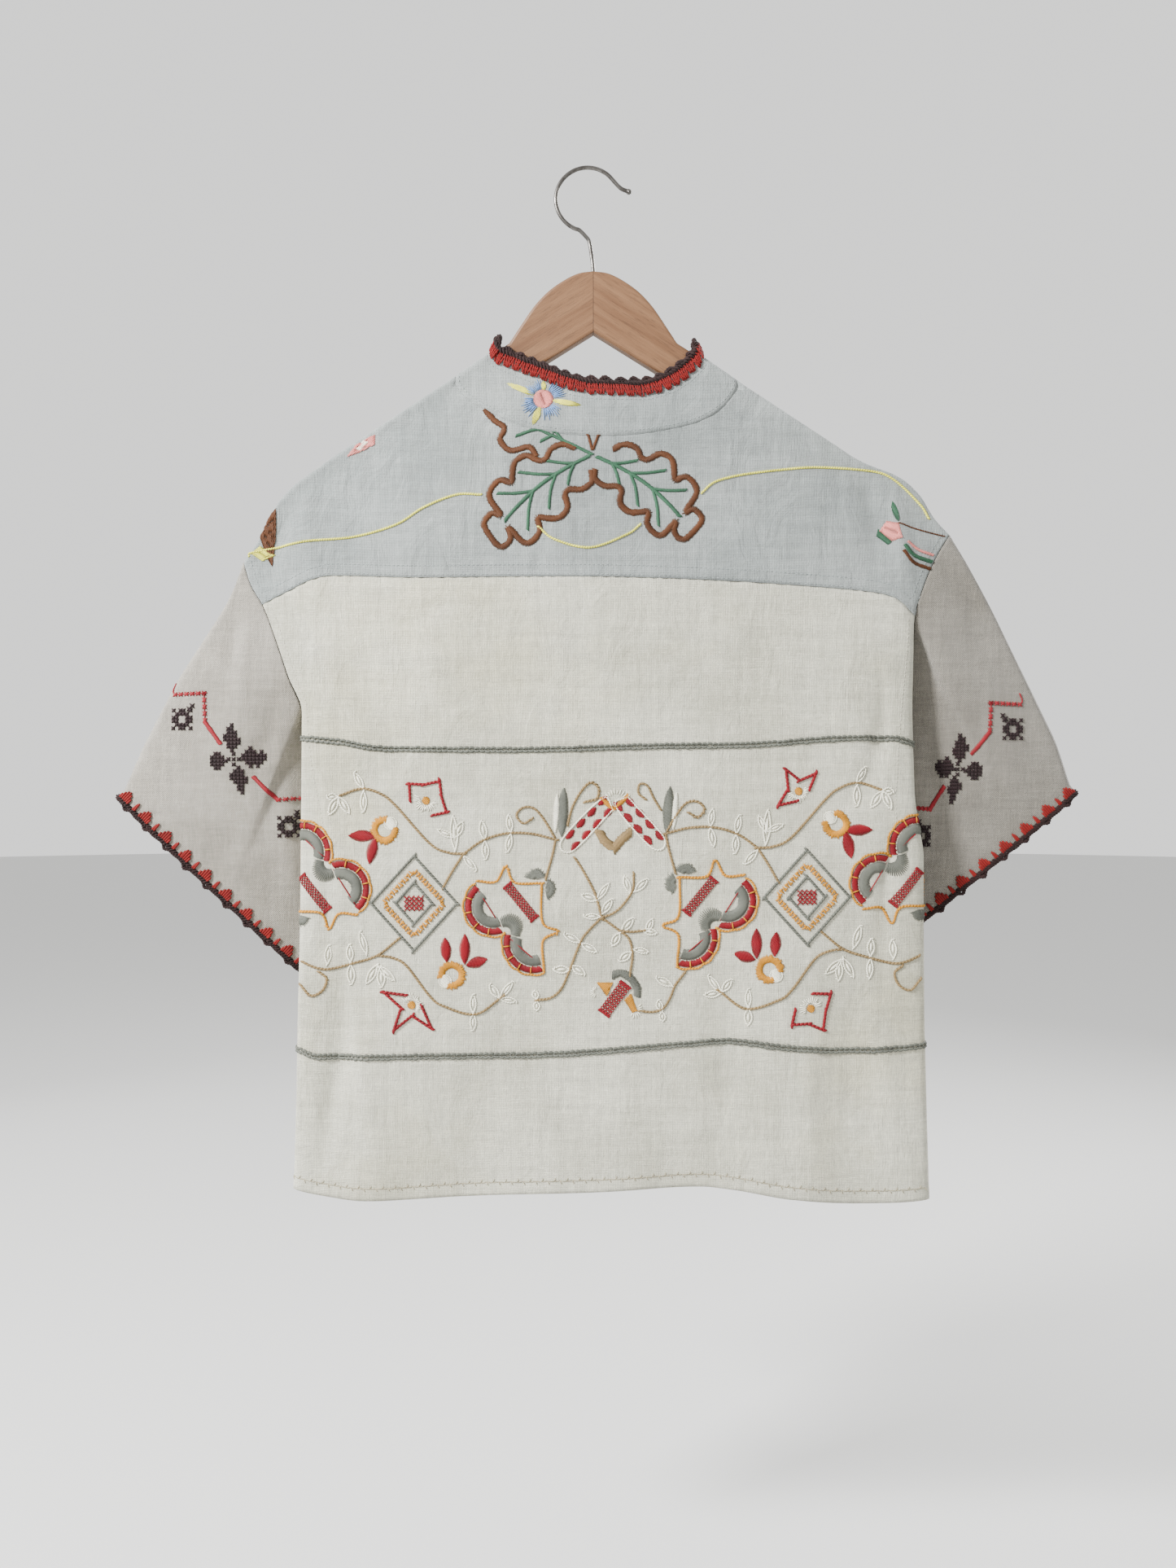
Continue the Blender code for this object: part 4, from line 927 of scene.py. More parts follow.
def linen(name, pale, deep, stain, turn=0.0, pitch=1.05, slub=0.5, stain_share=0.35, crumple=6.0):
    """Plain woven linen: crossed yarns with slubs, uneven dye and faint yellow stains."""
    material, tree, shader = new_material(name, 0.88)
    shader.inputs["Sheen Weight"].default_value = 0.25
    shader.inputs["Sheen Roughness"].default_value = 0.6
    shader.inputs["Specular IOR Level"].default_value = 0.25
    place = placed_coordinates(tree, turn)
    per_metre = 1.0 / (pitch * MM) / 20.0 * 2 * math.pi
    warp = wave(tree, place, per_metre, "X")
    weft = wave(tree, place, per_metre, "Z")
    long_slubs = placed_coordinates(tree, turn, (1.0, 1.0, 14.0))
    wide_slubs = placed_coordinates(tree, turn, (14.0, 1.0, 1.0))
    slub_x = noise(tree, long_slubs, 95.0, 3.0, 0.65)
    slub_z = noise(tree, wide_slubs, 95.0, 3.0, 0.65)
    slubs = counted(tree, "MAXIMUM", slub_x.outputs["Fac"], slub_z.outputs["Fac"])
    slub_tone = ramp_value(tree, slubs, ((0.50, 0.0), (0.72, 1.0)))
    yarns = counted(tree, "MULTIPLY", warp.outputs["Fac"], weft.outputs["Fac"])
    cloud = noise(tree, place, 9.0, 4.0, 0.6)
    fine = noise(tree, place, 420.0, 2.0, 0.7)
    base = ramp(tree, cloud, "Fac", ((0.36, deep), (0.60, pale)))
    # The weave's hollows are darkened as painted shade.
    woven = mixed(tree, "MULTIPLY", 0.4, base.outputs["Color"], yarn_shade(tree, yarns))
    thin = counted(tree, "MULTIPLY", slub_x.outputs["Fac"], slub_z.outputs["Fac"])
    streaks = ramp_value(tree, thin, ((0.14, 0.72), (0.36, 1.06)))
    streaked = mixed(tree, "MULTIPLY", slub, woven, streaks)
    for source in (long_slubs, wide_slubs):
        uneven = noise(tree, source, 15.0, 5.0, 0.72)
        rows = ramp_value(tree, uneven.outputs["Fac"], ((0.34, 0.84), (0.62, 1.05)))
        streaked = mixed(tree, "MULTIPLY", 0.85, streaked, rows)
    with_slubs = mixed(tree, "MIX", counted(tree, "MULTIPLY", slub_tone, slub * 0.3), streaked, pale)
    blotch = noise(tree, place, 3.6, 5.0, 0.62)
    stained = ramp_value(tree, blotch.outputs["Fac"], ((0.50, 0.0), (0.70, stain_share)))
    colour = mixed(tree, "MULTIPLY", stained, with_slubs, stain)
    tree.links.new(colour, shader.inputs["Base Color"])
    height = counted(tree, "ADD", yarns, counted(tree, "MULTIPLY", slub_tone, slub))
    height = counted(tree, "ADD", height, counted(tree, "MULTIPLY", fine.outputs["Fac"], 0.45))
    rumples = noise(tree, placed_coordinates(tree, turn + 0.4, (1.0, 1.0, 0.55)), 34.0, 5.0, 0.58)
    rumples.inputs["Distortion"].default_value = 1.1
    height = counted(tree, "ADD", height, counted(tree, "MULTIPLY", rumples.outputs["Fac"], crumple))
    bumped(tree, shader, height, 0.0005, 0.9)
    return material


def ramp_value(tree, source, stops):
    """A ramp of greys; stops are place and value."""
    node = tree.nodes.new("ShaderNodeValToRGB")
    for element, (place, value) in zip(node.color_ramp.elements, stops):
        element.position = place
        element.color = (value, value, value, 1.0)
    tree.links.new(source, node.inputs["Fac"])
    return node.outputs["Color"]


def yarn_shade(tree, yarns):
    """Painted shade: darkens the hollows between yarns."""
    return ramp_value(tree, yarns, ((0.0, 0.55), (0.6, 1.0)))


def thread(name, colour, vary=0.16, roughness=0.62):
    """Embroidery cotton: twisted strands, slightly glossy, uneven in tone."""
    material, tree, shader = new_material(name, roughness)
    shader.inputs["Sheen Weight"].default_value = 0.04
    shader.inputs["Specular IOR Level"].default_value = 0.22
    place = placed_coordinates(tree)
    broad = noise(tree, place, 60.0, 2.0)
    fine = noise(tree, place, 900.0, 2.0, 0.7)
    dark = tuple(value * (1.0 - vary * 1.6) for value in colour)
    light = tuple(min(1.0, value * (1.0 + vary)) for value in colour)
    tone = ramp(tree, broad, "Fac", ((0.3, dark), (0.7, light)))
    # The fine noise that bumps the strands also darkens their hollows as painted shade.
    grain = mixed(tree, "MULTIPLY", 0.35, tone.outputs["Color"], yarn_shade(tree, fine.outputs["Fac"]))
    tree.links.new(grain, shader.inputs["Base Color"])
    bumped(tree, shader, fine.outputs["Fac"], 0.0003, 0.7)
    return material


class Threads:
    """Gathers strands of one thread and shows them as one joined mesh."""

    def __init__(self, name, material, slot):
        self.name, self.material, self.slot = name, material, slot
        self.points, self.quads, self.caps = [], [], []
        self.count = 0

    def strands(self, lines, ups, width, height=None, sides=5, pinch=0.45):
        """Adds strands along lines of points; ups point away from the cloth."""
        lines, ups = np.asarray(lines, float), np.asarray(ups, float)
        number, steps = lines.shape[:2]
        height = width if height is None else height
        ahead = unit(np.gradient(lines, axis=1))
        side = unit(np.cross(ahead, ups))
        up = np.cross(side, ahead)
        turn = 2 * math.pi * np.arange(sides) / sides
        thick = np.ones(steps)
        thick[0] = thick[-1] = pinch
        across = side[:, :, None] * (np.cos(turn) * width / 2)[:, None]
        rise = up[:, :, None] * (np.sin(turn) * height / 2)[:, None]
        rings = lines[:, :, None] + (across + rise) * thick[:, None, None]
        first = self.count + np.arange(number)[:, None] * steps * sides
        p, s = np.meshgrid(np.arange(steps - 1), np.arange(sides), indexing="ij")
        p, s = p.ravel(), s.ravel()
        after = (s + 1) % sides
        corners = [p * sides + s, (p + 1) * sides + s, (p + 1) * sides + after, p * sides + after]
        quads = first[:, :, None] + np.stack(corners, axis=-1)[None]
        start = first + np.arange(sides)
        end = first + (steps - 1) * sides + np.arange(sides)[::-1]
        self.points.append(rings.reshape(-1, 3))
        self.quads.append(quads.reshape(-1, 4))
        self.caps.append(np.concatenate([start, end]))
        self.count += number * steps * sides

    def on(self, cloth, flat, width, arch=0.3, base=0.15, hand=-1.0, height=None):
        """Lays strands given as x, z places on a cloth, raised in their middles."""
        flat = np.asarray(flat, float)
        share = np.linspace(0.0, 1.0, flat.shape[1])
        lift = base + arch * np.sin(math.pi * share)
        places, outs = cloth.laid(flat, np.broadcast_to(lift, flat.shape[:2]), hand)
        self.strands(places, outs, width, height)

    def stitches(self, cloth, ends, width, arch=0.3, base=0.15, hand=-1.0, steps=4):
        """Straight stitches between pairs of x, z places on a cloth."""
        ends = np.asarray(ends, float)
        share = np.linspace(0.0, 1.0, steps)[None, :, None]
        self.on(cloth, ends[:, :1] * (1 - share) + ends[:, 1:] * share, width, arch, base, hand)

    def show(self):
        """Shows the strands gathered so far as one piece."""
        points = np.concatenate(self.points)
        mesh = array_mesh(self.name, points, [np.concatenate(self.quads), *by_size(self.caps)])
        return piece(self.name, mesh, self.material, self.slot)


def by_size(blocks):
    """Arrays of faces joined where their numbers of corners are equal."""
    sizes = sorted({block.shape[1] for block in blocks})
    return [np.concatenate([b for b in blocks if b.shape[1] == size]) for size in sizes]


def flowing(points, step, closed=False):
    """Evenly spaced places and headings along a smooth curve through flat or solid points."""
    p = np.array(points, float)
    if closed:
        p = np.concatenate([p[-1:], p, p[:2]])
    else:
        p = np.concatenate([2 * p[:1] - p[1:2], p, 2 * p[-1:] - p[-2:-1]])
    t = np.linspace(0.0, 1.0, 12, endpoint=False)[:, None]
    stretches = []
    for a, b, c, d in zip(p, p[1:], p[2:], p[3:]):
        bend = (2 * a - 5 * b + 4 * c - d) * t**2 + (-a + 3 * b - 3 * c + d) * t**3
        stretches.append(0.5 * (2 * b + (c - a) * t + bend))
    line = np.concatenate([*stretches, p[-2:-1]])
    way = distances(line)
    count = max(2, round(way[-1] / step))
    places = read_at(np.linspace(0.0, way[-1], count + 1), way, line)
    return places, unit(np.gradient(places, axis=0))


def sideways(heading):
    """The way to the left of each heading on the flat."""
    return np.stack([-heading[..., 1], heading[..., 0]], axis=-1)


def aimed(angle):
    """A heading on the flat from its angle in degrees."""
    turn = math.radians(angle)
    return np.array([math.cos(turn), math.sin(turn)])


def facing(heading):
    """The angle in degrees of a heading on the flat."""
    return math.degrees(math.atan2(heading[1], heading[0]))


def stem(threads, cloth, points, width=1.5, pitch=2.3, closed=False, hand=-1.0):
    """Stem stitch: short slanted stitches that overlap like a rope."""
    places, heading = flowing(points, pitch, closed)
    side = sideways(heading) * width * 0.22
    start = places - heading * pitch * 0.35 - side
    end = places + heading * pitch * 1.05 + side
    threads.stitches(cloth, np.stack([start, end], axis=1), width * 0.72, 0.35, 0.2, hand)


def satin_line(threads, cloth, points, width, pitch=0.8, slant=0.3, closed=False):
    """A band of stitches side by side along a curve."""
    places, heading = flowing(points, pitch, closed)
    half = width / 2 * (1 + RANDOM.uniform(-0.14, 0.14, (len(places), 1)))
    reach = (sideways(heading) + heading * slant) * half
    ends = np.stack([places - reach, places + reach], axis=1)
    threads.stitches(cloth, ends, pitch * 1.3, 0.55, 0.15)


def fill(threads, cloth, outline, angle, pitch=0.85, ragged=0.35, longest=12.0):
    """Satin stitches side by side across a closed outline, at an angle in degrees."""
    ahead = aimed(angle)
    aside = sideways(ahead)
    shape = np.array(outline, float)
    run, level = shape @ ahead, shape @ aside
    next_run, next_level = np.roll(run, -1), np.roll(level, -1)
    ends = []
    for height in np.arange(level.min() + pitch / 2, level.max(), pitch):
        over = (level > height) != (next_level > height)
        share = (height - level[over]) / (next_level[over] - level[over])
        cuts = np.sort(run[over] + share * (next_run[over] - run[over]))
        for left, right in zip(cuts[::2], cuts[1::2]):
            parts = max(1, math.ceil((right - left) / longest))
            for k in range(parts):
                start = left + (right - left) * k / parts - RANDOM.uniform(0, ragged)
                end = left + (right - left) * (k + 1) / parts + RANDOM.uniform(0, ragged)
                ends.append((ahead * start + aside * height, ahead * end + aside * height))
    threads.stitches(cloth, np.array(ends), pitch * 1.3, 0.45, 0.15)


def petal_shape(base, tip, width, blunt=0.5, count=10):
    """Outline of a leaf or petal between two points."""
    base, tip = np.array(base, float), np.array(tip, float)
    t = np.linspace(0.0, 1.0, count)[:, None]
    reach = tip - base
    aside = sideways(reach) / np.linalg.norm(reach)
    bow = width / 2 * np.sin(math.pi * t) ** (1.0 - 0.4 * blunt)
    left = base + reach * t + aside * bow
    right = base + reach * t - aside * bow
    return np.concatenate([left, right[-2:0:-1]])


def leaf(threads, cloth, base, tip, width=4.6):
    """A small outlined leaf: two bowed rows of stitches with a few strands inside."""
    shape = petal_shape(base, tip, width * (0.95 + 0.4 * RANDOM.random()), 0.3)
    stem(threads, cloth, shape, 1.7, 2.1, closed=True)
    inner = np.array(base) * 0.72 + np.array(tip) * 0.28
    outer = np.array(base) * 0.25 + np.array(tip) * 0.75
    threads.stitches(cloth, [[inner, outer]], 2.0)


def fan(
    threads, cloth, centre, from_angle, to_angle, inner, outer, step=9.0, width=1.0, ragged=0.18
):
    """Stitches that spread from a middle like a fan, one every few degrees."""
    count = max(2, round(abs(to_angle - from_angle) / step))
    turn = np.radians(np.linspace(from_angle, to_angle, count))[:, None]
    aim = np.concatenate([np.cos(turn), np.sin(turn)], axis=1)
    far = outer * (1 - RANDOM.uniform(0, ragged, (count, 1)))
    near = inner * (1 + RANDOM.uniform(0, ragged * 0.5, (count, 1)))
    ends = np.stack([centre + aim * near, centre + aim * far], axis=1)
    threads.stitches(cloth, ends, width, 0.4, 0.2)


def crosses(threads, cloth, centres, size, width=1.0, turn=0.0):
    """Cross stitches: two slanted stitches at each place."""
    centres = np.asarray(centres, float)
    for number, angle in enumerate((45.0, 135.0)):
        reach = aimed(angle + turn) * size / 2 * 1.3
        ends = np.stack([centres - reach, centres + reach], axis=1)
        threads.stitches(cloth, ends, width, 0.35, 0.2 + 0.25 * number)


def charted(rows, centre, size, turn=0.0):
    """Places of the cross stitches in a small chart, round a centre."""
    spots = []
    for i, row in enumerate(rows):
        for j, mark in enumerate(row):
            if mark == "x":
                spots.append((j - (len(row) - 1) / 2, (len(rows) - 1) / 2 - i))
    spots = np.array(spots) * size
    turn = math.radians(turn)
    spin = np.array([[math.cos(turn), math.sin(turn)], [-math.sin(turn), math.cos(turn)]])
    return np.array(centre) + spots @ spin


def running(threads, lines, outs, dash=2.7, gap=1.1, width=0.5):
    """Even machine stitches along a line of places on cloth, close to it."""
    way = distances(lines)
    starts = np.arange(0.0, way[-1] - dash, dash + gap)
    at = starts[:, None] + np.linspace(0.0, dash, 4)
    ups = unit(read_at(at, way, outs))
    lift = 0.1 + 0.12 * np.sin(math.pi * np.linspace(0.0, 1.0, 4))
    threads.strands(read_at(at, way, lines) + ups * lift[None, :, None], ups, width, width * 0.8)


def evenly(points, step, *others, closed=False):
    """Even places along a line, with the directions in others read at the same places."""
    points = np.concatenate([points, points[:1]]) if closed else points
    way = distances(points)
    count = round(way[-1] / step)
    at = np.linspace(0.0, way[-1], count + 1)
    at = at[:-1] if closed else at
    read = [points]
    for other in others:
        read.append(np.concatenate([other, other[:1]]) if closed else other)
    rows = [read_at(at, way, values) for values in read]
    return [rows[0], *[unit(row) for row in rows[1:]]]


def rope(threads, line, up, out, size, ply, turn_length, plies=3, seed=0.0):
    """Twisted yarn along a line: plies wound round it."""
    way = distances(line)
    loose = 1.0 + 0.18 * np.sin(way / 7.3 + seed) + 0.12 * np.sin(way / 3.1 + 2 * seed)
    strands, ups = [], []
    for k in range(plies):
        angle = 2 * math.pi * (way / turn_length + k / plies)
        swing = up * np.cos(angle)[:, None] + out * np.sin(angle)[:, None]
        strands.append(line + swing * (size * loose)[:, None])
        ups.append(swing)
    threads.strands(np.array(strands), np.array(ups), ply, ply, 5, 0.8)


def knobs(threads, centres, ups, outs, size, ply):
    """Small crocheted knots: two crossed loops of yarn round each place."""
    turn = np.linspace(0.0, 1.75 * math.pi, 7)[None, :, None]
    ahead = np.cross(outs, ups)
    size = np.asarray(size, float).reshape(-1, 1, 1)
    for first, second in ((ahead, ups), (ahead + outs, outs - ahead)):
        first, second = unit(first)[:, None], unit(second)[:, None]
        swing = first * np.cos(turn) + second * np.sin(turn)
        threads.strands(centres[:, None] + swing * size, swing, ply, ply, 5, 0.9)


def yarn_bars(threads, feet, tops, outs, width, bow=0.5):
    """Long crochet stitches: two plies each, bowed outwards."""
    share = np.linspace(0.0, 1.0, 7)[None, :, None]
    line = feet[:, None] * (1 - share) + tops[:, None] * share
    line = line + outs[:, None] * bow * np.sin(math.pi * share)
    ahead = unit(tops - feet)[:, None]
    side = unit(np.cross(ahead, outs[:, None]))
    for k in range(2):
        angle = 2 * math.pi * (share * 1.5 + k / 2)
        swing = side * np.cos(angle) + outs[:, None] * np.sin(angle)
        ups = np.broadcast_to(outs[:, None], line.shape)
        threads.strands(line + swing * width * 0.24, ups, width * 0.62, width * 0.62, 5, 0.7)


def make_neck_crochet(seam, top):
    """Red fans of long stitches round the collar's edge, under a knobbly dark brown rope."""
    red = Threads("neck_crochet_red", COTTON_RED, "crochet_cotton")
    dark = Threads("neck_crochet_dark", COTTON_DARK, "crochet_cotton")
    up = edging_up(seam, top)
    ahead = unit(np.gradient(top, axis=0))
    out = unit(np.cross(ahead, up))
    out *= np.sign(np.sum(out * (top - np.array(EDGING_INSIDE)), axis=1))[:, None]
    spots, ups, outs = evenly(top, NECK_FAN_PITCH, up, out)
    aheads = unit(np.gradient(spots, axis=0))
    for face in (1.0, -1.0):
        for spread in (-1.3, -0.6, 0.0, 0.6, 1.3):
            jitter = RANDOM.uniform(-0.4, 0.4, (len(spots), 1))
            foot_rise = RANDOM.uniform(-0.9, 1.1, (len(spots), 1))
            feet = spots + aheads * (spread * 1.7 + jitter) + ups * foot_rise + outs * face * 1.15
            heads = spots + aheads * (spread * NECK_FAN_PITCH * 0.42 + jitter) + ups * 11.2
            yarn_bars(red, feet, heads + outs * face * 1.0, outs * face, 1.9)
    line, line_up, line_out = evenly(top, 1.1, up, out)
    way = np.arange(len(line)) * 1.1
    lump = 0.75 + 0.25 * np.sin(way / 21.0 + 0.8) + 0.15 * np.sin(way / 5.7)
    bump_way = way + 2.2 * np.sin(way / 17.0)
    rise = np.abs(np.sin(math.pi * bump_way / NECK_BUMP_PITCH)) ** 1.3 * 4.2 * lump
    rope(red, line + line_up * 9.6 - line_out * 0.2, line_up, line_out, 1.0, 1.5, 7.0, 2, 1.0)
    rope(dark, line + line_up * 11.5, line_up, line_out, 1.9, 2.4, 9.5, 3, 0.0)
    rope(dark, line + line_up * (12.4 + rise)[:, None], line_up, line_out, 1.45, 2.1, 8.0, 3, 2.0)
    spots, ups, outs = evenly(top, 3.1, up, out)
    way = np.arange(len(spots)) * 3.1
    bump_way = way + 2.2 * np.sin(way / 17.0)
    rise = np.abs(np.sin(math.pi * bump_way / NECK_BUMP_PITCH)) ** 1.3 * 4.4
    sway = RANDOM.uniform(-0.7, 0.7, (len(spots), 1))
    for share in (0.35, 0.8):
        centres = spots + ups * (11.4 + rise * share)[:, None] + outs * sway
        knobs(dark, centres, ups, outs, 1.3 + RANDOM.uniform(0.0, 0.6, len(spots)), 1.7)
    for threads in (red, dark):
        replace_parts(threads.show(), "neck_edging")


# Bars of the cuff's bumps and of the spikes between them: place along the edge, length.
BUMP_BARS = ((-4.6, 4.2), (-2.9, 7.2), (-1.2, 9.6), (0.6, 10.4), (2.4, 8.6), (4.1, 5.6))
SPIKE_BARS = ((-0.9, 7.0), (0.9, 8.4))


def make_cuff_crochet(hand, side):
    """Red crocheted bumps and spikes over the cuff's edge, and a dark brown rope with picots."""
    red = Threads(f"cuff_crochet_red_{side}", COTTON_RED, "crochet_cotton")
    dark = Threads(f"cuff_crochet_dark_{side}", COTTON_DARK, "crochet_cotton")
    cloth = sleeves[hand]
    down = cuff_down(hand)
    rim = cloth.grid[SLEEVE_ROWS]
    normals = cloth.normals[SLEEVE_ROWS]
    line, out = evenly(rim, CUFF_STEP, normals, closed=True)
    count = len(line)
    bumps = round(count * CUFF_STEP / CUFF_BUMP_PITCH)
    for k in range(bumps):
        middle = (k + 0.35) * count / bumps
        wobble = RANDOM.uniform(-0.6, 0.6)
        for offset, tall in BUMP_BARS:
            index, lean = middle + offset / CUFF_STEP, 0.9 * offset * 0.12
            cuff_bar(red, cloth, line, out, down, index, tall + wobble, lean)
        half_way = middle + count / bumps * 0.5
        for offset, tall in SPIKE_BARS:
            index, lean = half_way + offset / CUFF_STEP, -offset * 0.7
            cuff_bar(red, cloth, line, out, down, index, tall + wobble, lean)
    way = np.arange(count) * CUFF_STEP
    picot = np.maximum(np.cos(2 * math.pi * (way / (count * CUFF_STEP) * bumps - 0.62)), 0.0) ** 3
    ripple = 0.5 * np.sin(way / 3.4) + 0.35 * np.sin(way / 1.9 + 1.0)
    downs = np.broadcast_to(down, line.shape)
    rope(dark, line + down * 6.9, downs, out, 1.25, 1.9, 8.0, 3, 0.5 + hand)
    outer = line + down * (8.6 + ripple * 0.5 + picot * 2.6)[:, None]
    rope(dark, outer, downs, out, 1.2, 1.7, 6.6, 3, 3.0 + hand)
    spots, outs = evenly(rim, 3.4, normals, closed=True)
    downs = np.broadcast_to(down, spots.shape)
    knobs(dark, spots + down * 8.0, downs, outs, 1.2 + RANDOM.uniform(0.0, 0.5, len(spots)), 1.6)
    for threads in (red, dark):
        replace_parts(threads.show(), f"cuff_edging_{side}")


def hanger_outline():
    """Outline of the hanger: a smooth dome, straight arms with round ends, a straight underside."""
    dome = ((0.0, 0.0), (12.0, -1.6), (24.0, -7.0), (38.5, -17.0), (51.0, -30.0), (61.5, -45.0))
    bends = [(x, HANGER_TOP_Z + z) for x, z in dome] + [(HANGER_SHOULDER_X, HANGER_SHOULDER_Z)]
    top, _ = flowing(bends, 2.0)
    arm_end = HANGER_TIP_X - HANGER_END_ROUND
    top_end = HANGER_SHOULDER_Z - HANGER_SLOPE * (arm_end - HANGER_SHOULDER_X)
    low_end = HANGER_UNDER_Z - HANGER_UNDER_SLOPE * arm_end
    middle, half = (top_end + low_end) / 2, (top_end - low_end) / 2
    half_line = list(map(tuple, top)) + [(arm_end, top_end)]
    for turn in range(75, -90, -15):
        angle = math.radians(turn)
        lean = -HANGER_SLOPE * HANGER_END_ROUND * math.cos(angle) * 0.6
        x = arm_end + HANGER_END_ROUND * math.cos(angle)
        half_line.append((x, middle + half * math.sin(angle) + lean))
    half_line += [(arm_end, low_end), (0.0, HANGER_UNDER_Z)]
    return half_line + [(-x, z) for x, z in half_line[-2:0:-1]]


def make_hanger():
    """Beech hanger of two halves that meet in a mitre at the middle."""
    outline = [(HANGER_MIDDLE + x, z) for x, z in hanger_outline()]
    curve = bpy.data.curves.new("hanger", "CURVE")
    curve.dimensions = "2D"
    spline = curve.splines.new("POLY")
    spline.points.add(len(outline) - 1)
    for spot, (x, z) in zip(spline.points, outline):
        spot.co = (x * MM, z * MM, 0.0, 1.0)
    spline.use_cyclic_u = True
    curve.fill_mode = "BOTH"
    curve.extrude = (HANGER_THICK / 2 - HANGER_EDGE) * MM
    curve.bevel_depth = HANGER_EDGE * MM
    curve.bevel_resolution = 3
    curve.offset = -HANGER_EDGE * MM
    drawn = bpy.data.objects.new("hanger_drawn", curve)
    bpy.context.scene.collection.objects.link(drawn)
    bpy.context.view_layer.update()
    seen = drawn.evaluated_get(bpy.context.evaluated_depsgraph_get())
    mesh = bpy.data.meshes.new_from_object(seen)
    bpy.data.objects.remove(drawn)
    mesh.transform(Matrix.Rotation(math.pi / 2, 4, "X"))
    mesh.materials.clear()
    mesh.shade_smooth()
    mesh.set_sharp_from_angle(angle=math.radians(38.0))
    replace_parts(piece("hanger", mesh, beech(), "beech"), "hanger_wood")


def beech():
    """Pale beech: each half's grain runs along its own arm, with short dark pores and a mitre line."""
    material, tree, shader = new_material("beech", 0.46)
    shader.inputs["Specular IOR Level"].default_value = 0.4
    split = tree.nodes.new("ShaderNodeSeparateXYZ")
    node_link(tree, placed_coordinates(tree), "Vector", split, "Vector")
    off_middle = counted(tree, "SUBTRACT", split.outputs["X"], HANGER_MIDDLE * MM)
    aside = counted(tree, "ABSOLUTE", off_middle, 0.0)
    slope = counted(tree, "MULTIPLY", aside, GRAIN_SLOPE)
    across = counted(tree, "ADD", split.outputs["Z"], slope)
    drop = counted(tree, "MULTIPLY", split.outputs["Z"], GRAIN_SLOPE)
    along_arm = counted(tree, "SUBTRACT", aside, drop)
    right_half = counted(tree, "GREATER_THAN", split.outputs["X"], HANGER_MIDDLE * MM)
    half = counted(tree, "MULTIPLY", right_half, 0.31)
    grain = tree.nodes.new("ShaderNodeCombineXYZ")
    long_grain = counted(tree, "MULTIPLY", along_arm, 0.07)
    tree.links.new(counted(tree, "ADD", long_grain, half), grain.inputs["X"])
    tree.links.new(counted(tree, "MULTIPLY", split.outputs["Y"], 0.6), grain.inputs["Y"])
    tree.links.new(across, grain.inputs["Z"])
    broad = noise(tree, grain, 120.0, 4.0, 0.6)
    fine = noise(tree, grain, 900.0, 3.0, 0.7)
    tone = ramp(tree, broad, "Fac", ((0.32, (0.105, 0.046, 0.018)), (0.68, (0.170, 0.085, 0.038))))
    pores = ramp_value(tree, fine.outputs["Fac"], ((0.36, 0.62), (0.46, 1.0)))
    grained = mixed(tree, "MULTIPLY", 0.75, tone.outputs["Color"], pores)
    mitre = ramp_value(tree, counted(tree, "MULTIPLY", aside, 1000.0), ((0.18, 0.45), (0.55, 1.0)))
    tree.links.new(mixed(tree, "MULTIPLY", 1.0, grained, mitre), shader.inputs["Base Color"])
    bumped(tree, shader, fine.outputs["Fac"], 0.0002, 0.5)
    return material


def chrome():
    """Chromed wire with fine draw marks and a few dull spots. Its base colour is kept dark as a painted
    reflection of dark surroundings in the bright chrome.
    """
    material, tree, shader = new_material("chromed wire", 0.28, 1.0)
    place = placed_coordinates(tree)
    spots = noise(tree, place, 140.0, 4.0, 0.65)
    # The dark base colours are a painted reflection of dark surroundings.
    tone = ramp(tree, spots, "Fac", ((0.35, (0.06, 0.055, 0.05)), (0.6, (0.15, 0.142, 0.132))))
    node_link(tree, tone, "Color", shader, "Base Color")
    rough = ramp_value(tree, spots.outputs["Fac"], ((0.3, 0.45), (0.65, 0.22)))
    tree.links.new(rough, shader.inputs["Roughness"])
    bumped(tree, shader, noise(tree, place, 700.0).outputs["Fac"], 0.0001, 0.4)
    return material


def make_hook():
    """The hook's wire: straight in the bore, a small kink, a round bow and a ball at the tip."""
    stem_line = [(5.0, -115.4), (5.0, -89.0), (3.4, -74.0), (1.5, -63.0), (-1.6, -58.4)]
    turns = np.radians(np.arange(255.0, 36.0, -7.0))
    bow = np.stack([HOOK_RADIUS * np.cos(turns), -26.0 + HOOK_RADIUS * np.sin(turns)], axis=-1)
    route = np.concatenate([stem_line, bow, [(28.5, -16.0), (34.0, -18.6), (36.0, -19.4)]])
    places, _ = flowing(route, 1.6)
    line = np.stack([places[:, 0], np.zeros(len(places)), places[:, 1]], axis=-1)
    wire = Threads("hook_wire", CHROME, "wire")
    ups = np.broadcast_to(np.array([0.0, -1.0, 0.0]), line.shape)
    wire.strands(line[None], ups[None], 2 * WIRE_RADIUS, None, 16, 0.8)
    share = np.linspace(-1.0, 1.0, 9)
    ball = line[-1] + np.outer(share * 2.3, unit(line[-1] - line[-2]))
    for k in range(8):
        radius = 2.4 * math.sqrt(max(1 - ((share[k] + share[k + 1]) / 2) ** 2, 0.04))
        wire.strands(ball[None, k : k + 2], ups[None, :2], 2 * radius, None, 16, 1.0)
    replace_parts(wire.show(), "hook")


def shell_plastic():
    """Pale shell-like plastic with soft bands."""
    material, tree, shader = new_material("shell plastic", 0.3)
    place = placed_coordinates(tree)
    bands = noise(tree, place, 160.0, 3.0, 0.6)
    tone = ramp(tree, bands, "Fac", ((0.35, (0.48, 0.42, 0.33)), (0.65, (0.62, 0.58, 0.50))))
    node_link(tree, tone, "Color", shader, "Base Color")
    bumped(tree, shader, bands.outputs["Fac"], 0.0002, 0.4)
    return material


